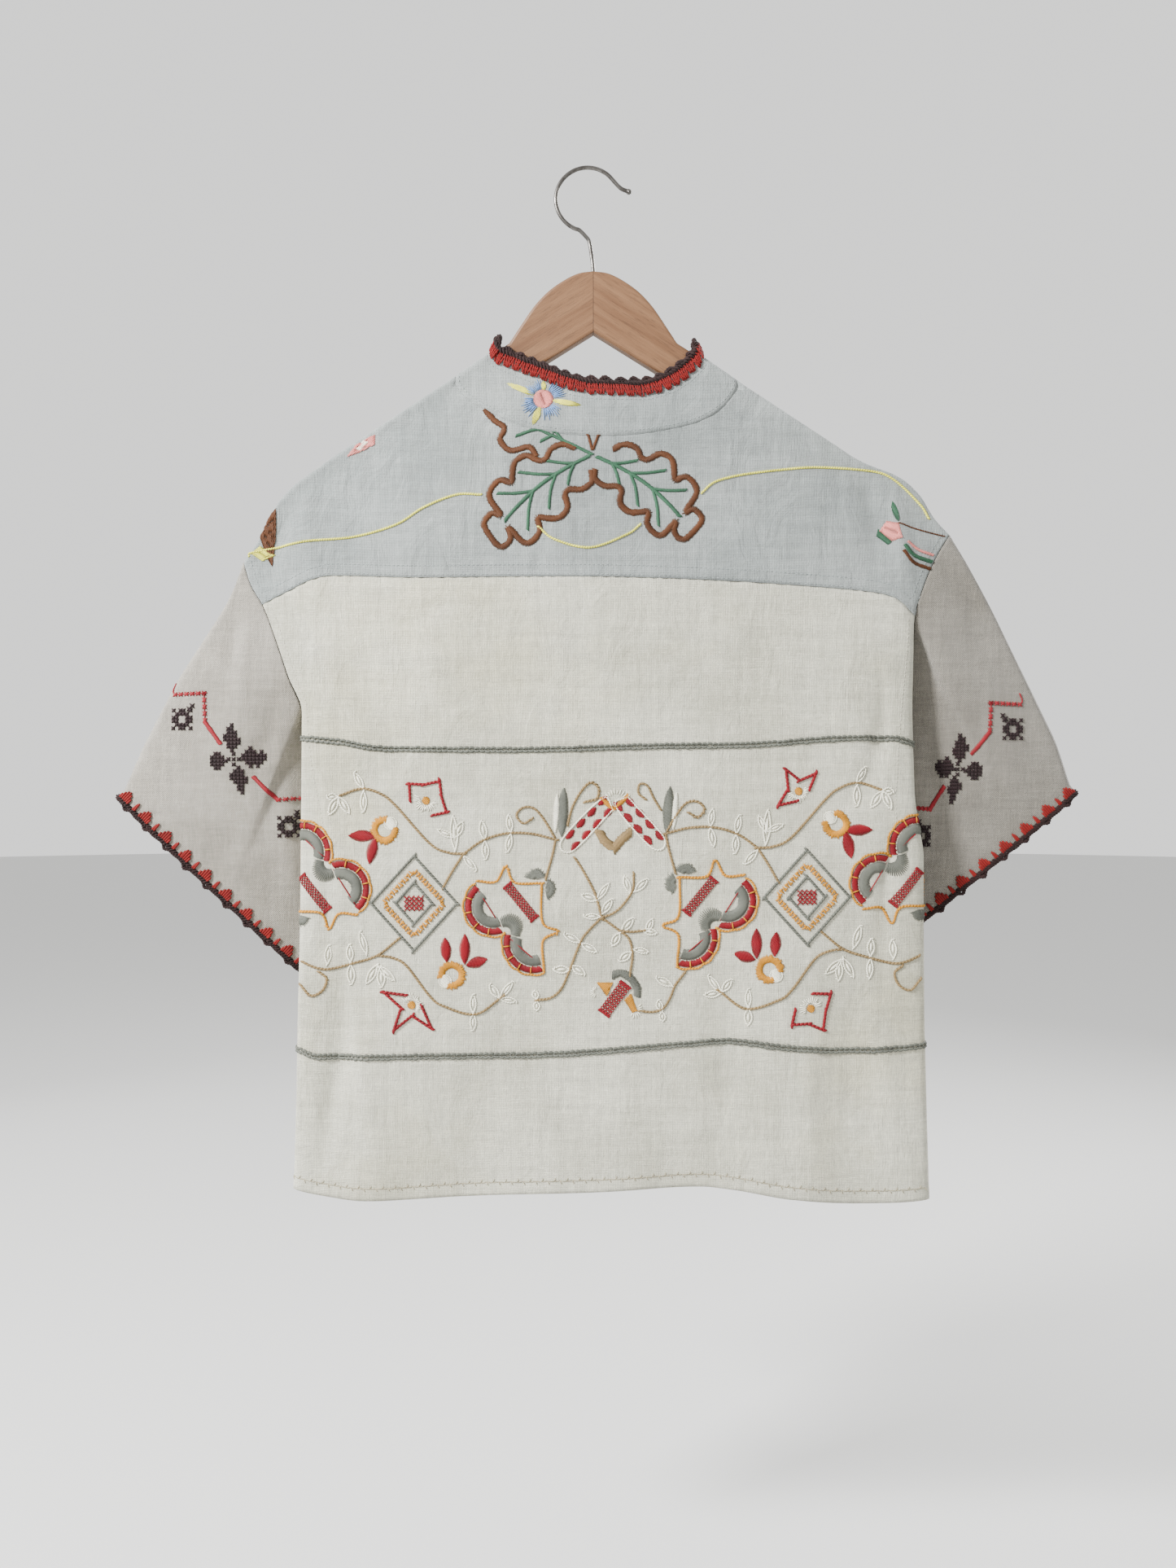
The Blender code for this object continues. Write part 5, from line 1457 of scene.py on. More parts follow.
# A button's turned profile: radius and height over its underside.
BUTTON_PROFILE = (
    (0.0, 0.0),
    (5.2, 0.0),
    (5.9, 0.5),
    (6.0, 1.1),
    (5.9, 1.7),
    (5.4, 2.1),
    (4.7, 2.0),
    (4.2, 1.6),
    (0.0, 1.5),
)
BUTTON_HOLES = ((1.25, 1.25), (-1.25, 1.25), (-1.25, -1.25), (1.25, -1.25))


def make_buttons():
    """Four-hole buttons on the hidden side's band, each sewn on with crossed thread; dark plugs in the holes
    are painted shade.
    """
    plastic = shell_plastic()
    sewing = Threads("button_thread", CREAM.material, "cream_linen")
    hole_shade = Threads("button_hole_shade", DARK_COTTON, "buttons")
    top = neck_front(FRONT_MIDDLE_TOP) - FIRST_BUTTON_DROP
    turn = 2 * math.pi * np.arange(BUTTON_SIDES) / BUTTON_SIDES
    for number in range(BUTTON_COUNT):
        z = top + (LAST_BUTTON_Z - top) * number / (BUTTON_COUNT - 1)
        (spot,), (out,) = band.laid([(front_middle(z), z)], 0.35, 1.0)
        right = unit(np.cross(out, np.array([0.0, 0.0, 1.0])))
        up = np.cross(right, out)
        ring = right * np.cos(turn)[:, None] + up * np.sin(turn)[:, None]
        rings = [spot + out * height + ring * max(radius, 0.02) for radius, height in BUTTON_PROFILE]
        grid = np.array(rings)
        faces = grid_faces(*grid.shape[:2], closed=True)
        mesh = array_mesh(f"button_shape_{number + 1}", grid.reshape(-1, 3), [faces])
        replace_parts(piece(f"button_shape_{number + 1}", mesh, plastic, "buttons"), f"button_{number + 1}")
        spots = np.array([spot + right * x + up * h for x, h in BUTTON_HOLES])
        # Plugs of the dark brown cotton fill each hole: painted shade inside the holes.
        wells = np.stack([spots + out * 1.0, spots + out * 1.66], axis=1)
        ups = np.broadcast_to(up, wells.shape)
        hole_shade.strands(wells, ups, 1.5, None, 10, 1.0)
        for k in range(2):
            share = np.linspace(0.0, 1.0, 6)[:, None]
            rise = 1.7 + 0.5 * np.sin(math.pi * share) + 0.2 * k
            line = spots[k] * (1 - share) + spots[k + 2] * share + out * rise
            sewing.strands(line[None], np.broadcast_to(out, (1, 6, 3)), 0.8)
    hole_shade.show()
    sewing.show()


def feather(threads, cloth, line, hand, pitch=5.2, tall=2.6):
    """Feather stitch: slanted stitches that point up and down by turns along a line."""
    places, heading = flowing(line, pitch)
    side = sideways(heading)
    swing = np.where(np.arange(len(places)) % 2, 1.0, -1.0)[:, None]
    foot = places - side * swing * 0.4
    head = places + side * swing * tall + heading * 1.8
    threads.stitches(cloth, np.stack([foot, head], axis=1), 0.8, 0.25, 0.15, hand)
    threads.stitches(cloth, np.stack([foot[:-1], foot[1:]], axis=1), 0.7, 0.2, 0.1, hand)


def sewn(threads, cloth, x, z, hand=-1.0):
    """A line of machine stitches through x, z places."""
    places, outs = cloth.laid(np.stack([x, z], axis=-1), 0.0, hand)
    running(threads, places, outs)


def make_sewing():
    """Topstitching on the yoke, armholes, shoulders, collar and band, and the hems' feather stitch."""
    pale = Threads("pale_sewing", thread("pale sewing cotton", (0.50, 0.48, 0.40), 0.08), "cream_linen")
    beige = Threads("hem_stitches", thread("beige hem cotton", (0.33, 0.29, 0.20), 0.1), "cream_linen")
    blue = Threads("blue_sewing", thread("blue grey sewing cotton", (0.26, 0.29, 0.285), 0.08), "blue_linen")
    x = np.linspace(-283.0, 312.0, 500)
    sewn(blue, yoke, x, seam_curve(x) + 10.0)
    sewn(blue, yoke, x, seam_curve(x) + 2.0)
    for hand in (-1, 1):
        line = armhole_line(hand, back_edge)
        z = line[:, 2]
        on_back = z < seam_curve(line[:, 0]) - 3.0
        on_yoke = z > seam_curve(line[:, 0]) + 12.0
        inside = line[:, 0] - hand * ARMHOLE_SEWING
        sewn(pale, back, inside[on_back], z[on_back])
        sewn(blue, yoke, inside[on_yoke], z[on_yoke])
        line = armhole_line(hand, front_edge)
        low = line[:, 2] < ridge(line[:, 0]) - SHOULDER_SEAM_DROP - 6.0
        sewn(pale, fronts[hand], line[low, 0] - hand * ARMHOLE_SEWING, line[low, 2], 1.0)
        x = np.linspace(140.0, 285.0, 200) if hand > 0 else np.linspace(-265.0, -125.0, 200)
        sewn(pale, fronts[hand], x, ridge(x) - SHOULDER_SEAM_DROP - 5.0, 1.0)
        low_x = np.linspace(BODY_MIDDLE + hand * 22.0, BODY_MIDDLE + hand * 262.0, 160)
        feather(beige, fronts[hand], np.stack([low_x, hem_curve(low_x) + HEM_SEWING], axis=-1), 1.0)
    x = np.linspace(-252.0, 288.0, 300)
    feather(beige, back, np.stack([x, hem_curve(x) + HEM_SEWING], axis=-1), -1.0)
    top = neck_front(FRONT_MIDDLE_TOP) - 8.0
    z = np.linspace(top, HEM_AT_MIDDLE + 6.0, 600)
    for side in (-1.0, 1.0):
        sewn(pale, band, front_middle(z) + side * (BAND_WIDTH / 2 - 2.0), z, 1.0)
    seam_row = collar.grid[1]
    middle_row = collar.grid[COLLAR_ROWS - 1]
    for row in (seam_row, middle_row):
        spots, outs = collar.snapped(row[2:-2])
        away = spots - np.array(COLLAR_SEWING_INSIDE)
        outs = np.where(np.sum(outs * away, axis=1, keepdims=True) < 0, -outs, outs)
        running(blue, spots, outs)
    for threads in (pale, blue, beige):
        threads.show()


def cuff_bar(threads, cloth, line, out, down, index, tall, lean):
    """One long stitch from the rope up over the cuff's edge onto the cloth."""
    i = int(round(index)) % len(line)
    ahead = unit(line[(i + 1) % len(line)] - line[i - 1])
    reach = np.linspace(6.8, 6.8 - tall, 7)
    spots = line[i] + down * reach[:, None] + ahead * lean * np.linspace(0.0, 1.0, 7)[:, None]
    snapped, _ = cloth.snapped(spots)
    spots = np.where((reach < 4.0)[:, None], snapped, spots)
    swell = 0.75 + 0.5 * np.sin(math.pi * np.linspace(0.05, 0.95, 7))
    spots = spots + out[i] * swell[:, None]
    threads.strands(spots[None], np.broadcast_to(out[i], (1, 7, 3)), 2.15, 1.7, 6, 0.5)


def pucker(distance, travel, height=0.35, length=10.0, reach=7.0):
    """Small ripples that a seam draws into the cloth beside it."""
    ripples = np.sin(2 * math.pi * travel / length + 1.3 * np.sin(travel / 23.0))
    return height * ripples * np.exp(-distance / reach)


def away_from(distance, reach=12.0):
    """Grows from 0 at a seam to 1 away from it."""
    t = np.clip(distance / reach, 0.0, 1.0)
    return t * t * (3 - 2 * t)


def make_back():
    """The back panel with its creases, its puckered seam and the ridge over the hem's turning."""
    grid = back_grid()
    x, z = grid[..., 0], grid[..., 2]
    seam = np.maximum(seam_curve(x) - z, 0.0)
    low = np.maximum(z - hem_curve(x), 0.0)
    side = np.minimum(x - x[:, :1], x[:, -1:] - x)
    lift = 2.2 * crease_lift(x, z, BACK_CREASES) + 0.9 * wander(x, z, 55.0, 1.0)
    lift = lift * away_from(seam) * away_from(np.abs(side), 16.0)
    lift += pucker(seam, x) + pucker(np.abs(low - 9.0), x, 0.25, 13.0, 6.0)
    lift += 0.35 / (1 + np.exp((low - 10.0) / 0.8)) - 0.35
    return Cloth("back_cloth", grid, BODY_INSIDE, lift)


def make_yoke():
    """The yoke with its creases and puckered seam, and the points of its grid."""
    grid, cloth = yoke_grid()
    x, z = grid[..., 0], grid[..., 2]
    seam = np.maximum(z - seam_curve(x), 0.0)
    front = grid[..., 1] > 0
    ridge_drop = np.maximum(ridge(x) - z, 0.0)
    lift = 2.1 * crease_lift(x, z, YOKE_CREASES) + 0.8 * wander(x, z, 42.0, 3.0)
    edges = away_from(seam) * away_from(ridge_drop, 14.0) * away_from(np.abs(x - x[:, :1]))
    edges *= away_from(np.abs(x[:, -1:] - x)) * away_from(np.maximum(neck_back(x) - z, 0.0), 9.0)
    lift = np.where(front, 0.0, lift * edges)
    ripple = pucker(np.abs(seam - 5.0), x, 0.3, 9.0, 5.0)
    lift += np.where(front, 0.0, ripple + 0.4 / (1 + np.exp((seam - 10.0) / 0.7)) - 0.2)
    return Cloth("yoke_cloth", grid, YOKE_INSIDE, lift, cloth), grid


def make_front(hand, shoulder):
    """One front panel with its creases, and the points of its grid."""
    grid = front_grid(hand, shoulder)
    x, z = grid[..., 0], grid[..., 2]
    low = np.maximum(z - hem_curve(x), 0.0)
    top = np.linspace(1.0, 0.0, len(grid))[:, None] * 600.0
    edges = away_from(top, 22.0) * away_from(np.abs(x - x[:, :1]), 16.0)
    edges = edges * away_from(np.maximum(np.abs(x - front_middle(z)) - 14.0, 0.0), 14.0)
    lift = (1.6 * crease_lift(x, z, FRONT_CREASES) + 0.7 * wander(x, z, 50.0, 5.0)) * edges
    lift += pucker(np.abs(low - 9.0), x, 0.25, 13.0, 6.0)
    return Cloth(f"front_cloth_{SIDE_NAMES[hand]}", grid, FRONT_INSIDE, lift), grid


def make_sleeve(hand):
    """A sleeve with its creases, which goes on a little under its crocheted edging."""
    grid = sleeve_grid(hand)
    x, z = grid[..., 0], grid[..., 2]
    share = np.linspace(0.0, 1.0, SLEEVE_ROWS + 1)[:, None]
    way = np.arange(SLEEVE_COLUMNS)[None, :] / SLEEVE_COLUMNS
    turned = np.where(way <= 0.5, 1.0, -0.7)
    shifted = np.where(way <= 0.5, 0.0, 17.0)
    lift = 1.5 * crease_lift(x + shifted, z, SLEEVE_CREASES[hand]) * turned
    lift = lift + 0.6 * wander(x, z, 38.0, 8.0 + hand)
    top_edge = np.abs(1 - 2 * way)
    lift = lift * away_from(share, 0.12) * away_from(1 - share, 0.10) * away_from(1 - top_edge, 0.18)
    lift = lift * away_from(top_edge, 0.18)
    travel = way * 620.0
    lift += pucker(share * 150.0, travel, 0.35, 9.0, 6.0) * away_from(share, 0.05)
    under = grid[-1] + cuff_down(hand) * np.linspace(1.5, CUFF_UNDER, 4)[:, None, None]
    middle = grid.reshape(-1, 3).mean(axis=0)
    grid = np.concatenate([grid, under])
    lift = np.concatenate([lift, np.repeat(lift[-1:], 4, axis=0)])
    return Cloth(f"sleeve_cloth_{SIDE_NAMES[hand]}", grid, middle, lift, closed=True)


def cuff_down(hand):
    """The way out of a cuff, square to its edge."""
    width = np.array(SLEEVES[hand]["inner"]) - np.array(SLEEVES[hand]["outer"])
    down = unit(np.array([width[2], 0.0, -width[0]]))
    return -down if down[2] > 0 else down


def make_collar(seam, top):
    """Stand collar with its ends over the front middle."""
    rise = unit(top - seam)
    low = seam - rise * 0.5
    share = np.linspace(0.0, 1.0, COLLAR_ROWS + 1)[:, None, None]
    grid = low + (top - low) * share
    bow = np.sin(math.pi * share[..., 0]) * np.sign(seam[:, 1])
    grid[..., 1] += 0.6 * bow
    for row in grid:
        row[0] += unit(row[1] - row[0]) * 1.5
        row[-1] += unit(row[-2] - row[-1]) * 1.5
    travel = np.cumsum(np.linalg.norm(np.diff(seam, axis=0, prepend=seam[:1]), axis=1))
    lift = pucker(share[..., 0] * 30.0, travel, 0.25, 8.0, 7.0)
    lift = lift * np.clip((np.abs(seam[:, 1]) - 6.0) / 4.0, 0.0, 1.0)
    under = grid[-1] + edging_up(seam, top) * np.linspace(2.0, NECK_UNDER, 5)[:, None, None]
    grid = np.concatenate([grid, under])
    lift = np.concatenate([lift, np.repeat(lift[-1:], 5, axis=0)])
    return Cloth("collar_cloth", grid, COLLAR_INSIDE, lift)


def edging_up(seam, top):
    """The way up from the collar's top edge, leaning in over the neck."""
    up = 0.5 * unit(top - seam) + np.array([0.0, 0.0, 0.5])
    lean = np.clip((np.abs(top[:, 1]) - 10.0) / 5.0, 0.0, 1.0)
    up[:, 1] = -np.sign(top[:, 1]) * 0.19 * lean
    return unit(up)


def make_band():
    """The button band on the hidden side, laid on both fronts."""
    top = neck_front(FRONT_MIDDLE_TOP) - 1.0
    across = np.linspace(-0.5, 0.5, 13) * BAND_WIDTH
    low = hem_curve(FRONT_MIDDLE_HEM + across)
    z = low + (top - low) * np.linspace(0.0, 1.0, 160)[:, None]
    x = front_middle(z) + across
    grid = stacked(x, body_y(x, z, "front"), z)
    raised = 1.5 + 0.25 * np.sin(z / 14.0 + 0.02 * x)
    return Cloth("front_band_cloth", grid, BODY_INSIDE, raised)


def make_camera():
    """The camera, level and square to the back."""
    data = bpy.data.cameras.new("camera")
    data.lens = LENS_MM
    data.sensor_width = SENSOR_MM
    camera = bpy.data.objects.new("camera", data)
    camera.location = Vector(CAMERA_PLACE) * MM
    camera.rotation_euler = (math.pi / 2, 0.0, 0.0)
    bpy.context.scene.collection.objects.link(camera)
    bpy.context.scene.camera = camera


def make_light(name, place, aim, size, power):
    """A square lamp that looks at a place."""
    data = bpy.data.lights.new(name, "AREA")
    data.shape = "SQUARE"
    data.size = size
    data.energy = power
    lamp = bpy.data.objects.new(name, data)
    lamp.location = place
    lamp.rotation_euler = (Vector(aim) - Vector(place)).to_track_quat("-Z", "Y").to_euler()
    bpy.context.scene.collection.objects.link(lamp)


def make_studio():
    """Plain pale floor, pale surroundings and soft light."""
    bpy.ops.mesh.primitive_circle_add(
        vertices=96, radius=FLOOR_RADIUS, fill_type="NGON", location=(0.0, 0.0, FLOOR_Z * MM)
    )
    floor = bpy.context.active_object
    floor.name = "floor"
    material, _, shader = new_material("pale floor", 0.9)
    shader.inputs["Base Color"].default_value = (0.56, 0.56, 0.552, 1.0)
    floor.data.materials.append(material)
    world = bpy.data.worlds.new("studio")
    world.use_nodes = True
    background = world.node_tree.nodes["Background"]
    background.inputs["Color"].default_value = (0.86, 0.86, 0.85, 1.0)
    background.inputs["Strength"].default_value = 1.5
    bpy.context.scene.world = world
    middle = (0.0, 0.0, -0.5)
    make_light("key", (-1.7, -1.25, 0.75), middle, 0.45, 220.0)
    make_light("fill", (1.5, -1.9, 0.1), middle, 1.2, 5.0)
    make_light("rear", (1.5, 1.4, 0.7), middle, 0.8, 90.0)
    make_light("rear_fill", (-1.6, 1.6, 0.0), middle, 1.6, 12.0)


make_camera()
make_studio()

CREAM_LINEN = linen(
    "cream linen",
    (0.715, 0.70, 0.565),
    (0.57, 0.555, 0.43),
    (0.92, 0.86, 0.66),
    slub=0.9,
    stain_share=0.6,
    crumple=10.0,
)
BLUE_LINEN = linen(
    "blue grey linen",
    (0.325, 0.352, 0.340),
    (0.235, 0.262, 0.254),
    (0.97, 0.95, 0.88),
    stain_share=0.2,
    crumple=11.0,
)
# One greige linen per sleeve, each with its own grain turn. A painted shade factor scales their colours:
# 0.98 on the left and 0.66 on the right. The right one is darkened for the shadow that sleeve hangs in.
GREIGE = {
    hand: linen(
        f"greige linen {side}",
        tuple(painted_shade * value for value in (0.37, 0.34, 0.285)),
        tuple(painted_shade * value for value in (0.25, 0.225, 0.18)),
        (0.95, 0.90, 0.82),
        turn=turn,
        pitch=1.25,
        slub=0.8,
    )
    for hand, side, turn, painted_shade in ((-1, "left", 0.78, 0.98), (1, "right", -0.78, 0.66))
}

back = make_back()
yoke, yoke_points = make_yoke()
fronts = {}
front_points = {}
for hand in (-1, 1):
    last = yoke_points[-1]
    shoulder = last[: SIDE_COLUMNS + 1] if hand < 0 else last[: -SIDE_COLUMNS - 2 : -1]
    fronts[hand], front_points[hand] = make_front(hand, shoulder)
sleeves = {hand: make_sleeve(hand) for hand in (-1, 1)}
collar_seam, collar_top = collar_rows(yoke_points, front_points)
collar = make_collar(collar_seam, collar_top)
band = make_band()

back_obj = back.show("back", CREAM_LINEN, "cream_linen")
yoke_obj = yoke.show("yoke", BLUE_LINEN, "blue_linen")
collar_obj = collar.show("collar_band", BLUE_LINEN, "blue_linen", 0.9)
band_obj = band.show("front_band", CREAM_LINEN, "cream_linen", 0.9)
front_objs, sleeve_objs = {}, {}
for hand, side in HANDS:
    front_objs[hand] = fronts[hand].show(f"front_{side}", CREAM_LINEN, "cream_linen")
    sleeve_objs[hand] = sleeves[hand].show(f"sleeve_{side}", GREIGE[hand], "greige_linen")


# The embroidery. The band on the back is worked as a left half and its mirror image, which sits
# a little off as hand work does. Places are x, z on the garment.
MIRROR_X = 18.5
RIGHT_SHIFT = (2.0, 5.0)

VINES = (
    ((-211, -546), (-192, -540), (-176, -544), (-163, -554), (-134, -586), (-118, -594), (-105, -595)),
    ((-105, -595), (-89, -584), (-70, -578), (-48, -578), (-27, -583)),
    ((-105, -595), (-114, -609), (-122, -623)),
    ((-244, -687), (-231, -692), (-219, -693), (-199, -688), (-178, -681), (-160, -667)),
    ((-178, -681), (-165, -683), (-153, -690), (-134, -715), (-122, -724), (-95, -731), (-72, -716)),
    ((-229, -695), (-222, -701), (-225, -711), (-235, -716), (-244, -708)),
    ((-28, -581), (-37, -566), (-45, -557), (-54, -556), (-60, -562), (-55, -569), (-48, -566)),
    ((-27, -583), (-30, -597), (-35, -615)),
)
CURLS = (
    ((-17, -571), (-13, -556), (-6, -543), (2, -535), (9, -539), (8, -548), (-1, -551)),
    ((62, -558), (56, -548), (51, -538), (45, -536), (43, -543), (48, -548)),
)
MIDDLE_VINES = (
    ((-11, -598), (-4, -609), (6, -628), (12, -649)),
    ((12, -649), (1, -660), (-6, -670), (-15, -693), (-22, -709), (-31, -717), (-42, -719)),
    ((12, -649), (27, -660), (35, -667), (38, -680), (36, -697)),
    ((12, -649), (22, -645), (30, -638), (38, -626), (39, -613)),
    ((27, -660), (37, -661), (47, -660)),
    ((43, -728), (55, -729), (64, -726), (70, -717), (74, -707), (82, -696)),
)
# Small cream leaves: base x, z, tip x, z.
LEAVES = (
    (-212, -547, -221, -547),
    (-212, -547, -219, -562),
    (-211, -547, -202, -561),
    (-190, -540, -198, -526),
    (-190, -542, -190, -560),
    (-112, -592, -114, -563),
    (-113, -581, -127, -575),
    (-112, -581, -106, -568),
    (-87, -583, -90, -567),
    (-87, -584, -86, -600),
    (-65, -577, -67, -562),
    (-65, -578, -68, -594),
    (-105, -597, -94, -609),
    (-187, -680, -193, -661),
    (-221, -689, -220, -673),
    (-201, -687, -202, -672),
    (-201, -689, -200, -706),
    (-178, -689, -187, -705),
    (-177, -690, -163, -702),
    (-175, -691, -174, -708),
    (-97, -730, -97, -714),
    (-97, -731, -97, -745),
    (-75, -717, -83, -706),
    (-74, -717, -63, -703),
    (-74, -718, -60, -720),
)
MIDDLE_LEAVES = (
    (8, -634, -5, -630),
    (8, -634, 18, -620),
    (11, -648, -3, -648),
    (12, -646, 21, -633),
    (36, -628, 31, -614),
    (40, -627, 51, -616),
    (-6, -670, -20, -663),
    (-5, -671, 8, -678),
    (-15, -693, -29, -693),
    (-13, -690, -2, -697),
    (-43, -718, -45, -711),
    (-43, -720, -43, -728),
    (29, -661, 39, -649),
    (50, -661, 55, -650),
    (47, -660, 59, -662),
    (27, -662, 21, -673),
    (39, -676, 52, -678),
    (37, -678, 27, -686),
    (72, -707, 58, -700),
    (62, -728, 60, -719),
    (63, -729, 64, -737),
)

# The scalloped flower's two lobes as arcs from its inner corner: centre x, z, radius, from, to.
FLOWER_LOBES = ((-10.0, 22.0, 23.0, 128.0, 292.0), (24.0, -9.0, 24.4, 160.0, 291.0))
FLOWER_POINT = 13.0
FLOWER_POINT_HALF = 8.0


def pointed_side(start, end, share):
    """A plain side of the flower with one point that sticks out part of the way along."""
    start, end = np.array(start, float), np.array(end, float)
    length = np.linalg.norm(end - start)
    ahead = (end - start) / length
    foot = start + ahead * share * length
    half = ahead * FLOWER_POINT_HALF
    return np.array([start, foot - half, foot + sideways(ahead) * FLOWER_POINT, foot + half, end])


FLOWER_TOP = pointed_side((-24, 44), (31, 42), 0.44)
FLOWER_RIGHT = pointed_side((31, 42), (33, -31), 0.56)
FLOWER_BAR = ((2, 40), (25, 12))
FLOWER_TUFTS = ((26, 45, 20.0, 165.0), (34, 37, -75.0, 70.0))
FLOWERS = ((-70.0, -662.0, False), (-219.0, -603.0, True))


def mirrored(hand, flat):
    """Places of the left half as they are, or as their mirror image on the right."""
    flat = np.asarray(flat, float)
    if hand < 0:
        return flat
    return np.array([2 * MIRROR_X, 0.0]) + flat * np.array([-1.0, 1.0]) + np.array(RIGHT_SHIFT)


def make_lobe(place, row):
    """One lobe of the flower: an ochre edge, red pieces between ochre bars, a grey band inside."""
    x, z, radius, start, end = row
    steps = round(math.radians(end - start) * radius / 0.85)
    turn = np.radians(np.linspace(start, end, steps))
    aim = np.stack([np.cos(turn), np.sin(turn)], axis=-1)
    share = np.linspace(0.0, 1.0, steps)
    bars = round(math.radians(end - start) * radius / 12.0)
    bump = np.abs(np.sin(math.pi * share * bars))[:, None] ** 0.6
    centre = np.array((x, z))
    for threads, far, near, slant in ((RED, 0.9, -4.6, 0.025), (GREY, -5.3, -14.2, 0.0)):
        jitter = RANDOM.uniform(-0.5, 0.5, (steps, 1))
        outer = centre + aim * (radius + far)
        inner = centre + np.roll(aim, round(slant * steps), axis=0) * (radius + near + jitter)
        ends = np.stack([place(outer), place(inner)], axis=1)[1:-1]
        threads.stitches(back, ends, 1.15, 0.45, 0.15)
    edge = centre + aim * (radius + 1.6 + 1.1 * bump)
    stem(OCHRE, back, place(edge[::3]), 2.7, 2.6)
    for k in range(1, bars):
        i = round(k * (steps - 1) / bars)
        ends = [place(centre + aim[i] * (radius + reach)) for reach in (1.6, -4.6)]
        OCHRE.stitches(back, [ends], 1.2, 0.6, 0.75)


def make_flower(place):
    """One scalloped flower; place turns its own points into places on the garment."""
    for row in FLOWER_LOBES:
        make_lobe(place, row)
    for turn in range(108, -16, -6):
        aim = aimed(turn)
        reach = 13.4 + 4.6 * max(0.0, math.cos(math.radians((turn - 52) * 1.6)))
        GREY.stitches(back, [[place(aim * 5.0), place(aim * reach)]], 1.15, 0.4, 0.2)
    stem(OCHRE, back, place(FLOWER_TOP), 3.1, 2.8)
    stem(OCHRE, back, place(FLOWER_RIGHT), 3.1, 2.8)
    checker_bar(place(FLOWER_BAR[0]), place(FLOWER_BAR[1]), 8.5)
    for x, z, start, end in FLOWER_TUFTS:
        centre = place((x, z))
        tips = [place(np.array((x, z)) + 10 * aimed(angle)) for angle in (start, end)]
        from_angle, to_angle = (facing(tip - centre) for tip in tips)
        sweep = (to_angle - from_angle + 180.0) % 360.0 - 180.0
        fan(GREY, back, centre, from_angle, from_angle + sweep, 2.5, 10.5, 7.0, 1.0)
        fan(GREY, back, centre, from_angle + 4, from_angle + sweep - 4, 0.6, 6.5, 9.0, 1.0)


def checker_bar(start, end, width):
    """A red bar of crossed stitches with solid ends."""
    start, end = np.asarray(start, float), np.asarray(end, float)
    run = end - start
    length = np.linalg.norm(run)
    ahead = run / length
    aside = sideways(ahead)
    rows, columns = max(3, round(length / 3.0)), max(2, round(width / 2.6))
    spots = []
    for i in range(rows):
        middle = start + ahead * length * (i + 0.5) / rows
        for j in range(columns):
            spots.append(middle + aside * width * ((j + 0.5) / columns - 0.5))
    crosses(RED, back, spots, 3.1, 1.15, facing(ahead))
    for share in (0.0, 1.0):
        middle = start + run * share
        satin_line(RED, back, (middle - aside * width / 2, middle + aside * width / 2), 2.6, 0.9)


def make_crescent(hand, centre, from_angle, to_angle, disc_angle):
    """An ochre horseshoe of short ragged stitches with a white disc in its mouth."""
    middle = mirrored(hand, centre)
    if hand > 0:
        from_angle, to_angle, disc_angle = 180 - from_angle, 180 - to_angle, 180 - disc_angle
    fan(OCHRE, back, middle, from_angle, to_angle, 5.6, 13.2, 5.0, 1.25, 0.16)
    fan(OCHRE, back, middle, from_angle + 3, to_angle - 3, 6.4, 11.0, 8.0, 1.2, 0.2)
    ring = middle + aimed(disc_angle) * 7.5 + 5.2 * circle(14)
    fill(CREAM, back, ring, 20.0, 0.9)
    stem(CREAM, back, ring, 1.2, 1.8, closed=True)


def circle(count):
    """Even places round a circle of radius one."""
    turn = 2 * math.pi * np.arange(count)[:, None] / count
    return np.concatenate([np.cos(turn), np.sin(turn)], axis=1)


UPPER_CRESCENT = (-172.0, -575.0)
LOWER_CRESCENT = (-115.0, -698.0)
# Red petals at the crescents: the crescent's middle, then foot, tip and width of the petal.
RED_PETALS = (
    (UPPER_CRESCENT, (-7, -5), (-31, -5), 10.0),
    (UPPER_CRESCENT, (-8, -6), (-13, -29), 10.0),
    (LOWER_CRESCENT, (-4, 11), (-6, 32), 9.5),
    (LOWER_CRESCENT, (11, 9), (11, 35), 9.5),
    (LOWER_CRESCENT, (12, 8), (30, 14), 9.5),
)
DIAMOND_MIDDLE = (-147.0, -637.0)


def diamond(half_x, half_z):
    """Pairs of corners, one for each side of a diamond round the origin."""
    corners = np.array([(0, half_z), (half_x, 0), (0, -half_z), (-half_x, 0), (0, half_z)])
    return zip(corners, corners[1:])


def make_band_half(hand):
    """One half of the wide band: vines, leaves, scalloped flowers, diamonds, crescents and petals."""
    for line in VINES:
        stem(TAN, back, mirrored(hand, line), VINE_WIDTH, VINE_WIDTH)
    for x0, z0, x1, z1 in LEAVES:
        leaf(CREAM, back, mirrored(hand, (x0, z0)), mirrored(hand, (x1, z1)))
    for x, z, turned in FLOWERS:
        sign = -1.0 if turned else 1.0

        def place(flat, sign=sign, x=x, z=z):
            return mirrored(hand, np.array([x, z]) + sign * np.asarray(flat, float))

        make_flower(place)
    middle = np.array(DIAMOND_MIDDLE)
    for half_x, half_z in ((36.5, 40.0), (15.5, 17.5)):
        for start, end in diamond(half_x, half_z):
            stem(GREY, back, mirrored(hand, [middle + start, middle + end]), 3.2, 3.0)
    zigzag(hand, middle, 26.0, 28.0)
    spots = middle + np.array([(x, z) for x in (-6, -2, 2, 6) for z in (4, 0, -4)])
    crosses(RED, back, mirrored(hand, spots), 5.4, 1.3, 8.0)
    make_crescent(hand, UPPER_CRESCENT, 82.0, 372.0, 48.0)
    make_crescent(hand, LOWER_CRESCENT, 190.0, -110.0, 222.0)
    for centre, base, tip, width in RED_PETALS:
        petal = np.array(centre) + petal_shape(base, tip, width)
        lean = facing(np.array(tip) - np.array(base)) + 60.0
        fill(RED, back, mirrored(hand, petal), lean if hand < 0 else 180.0 - lean, 0.9)


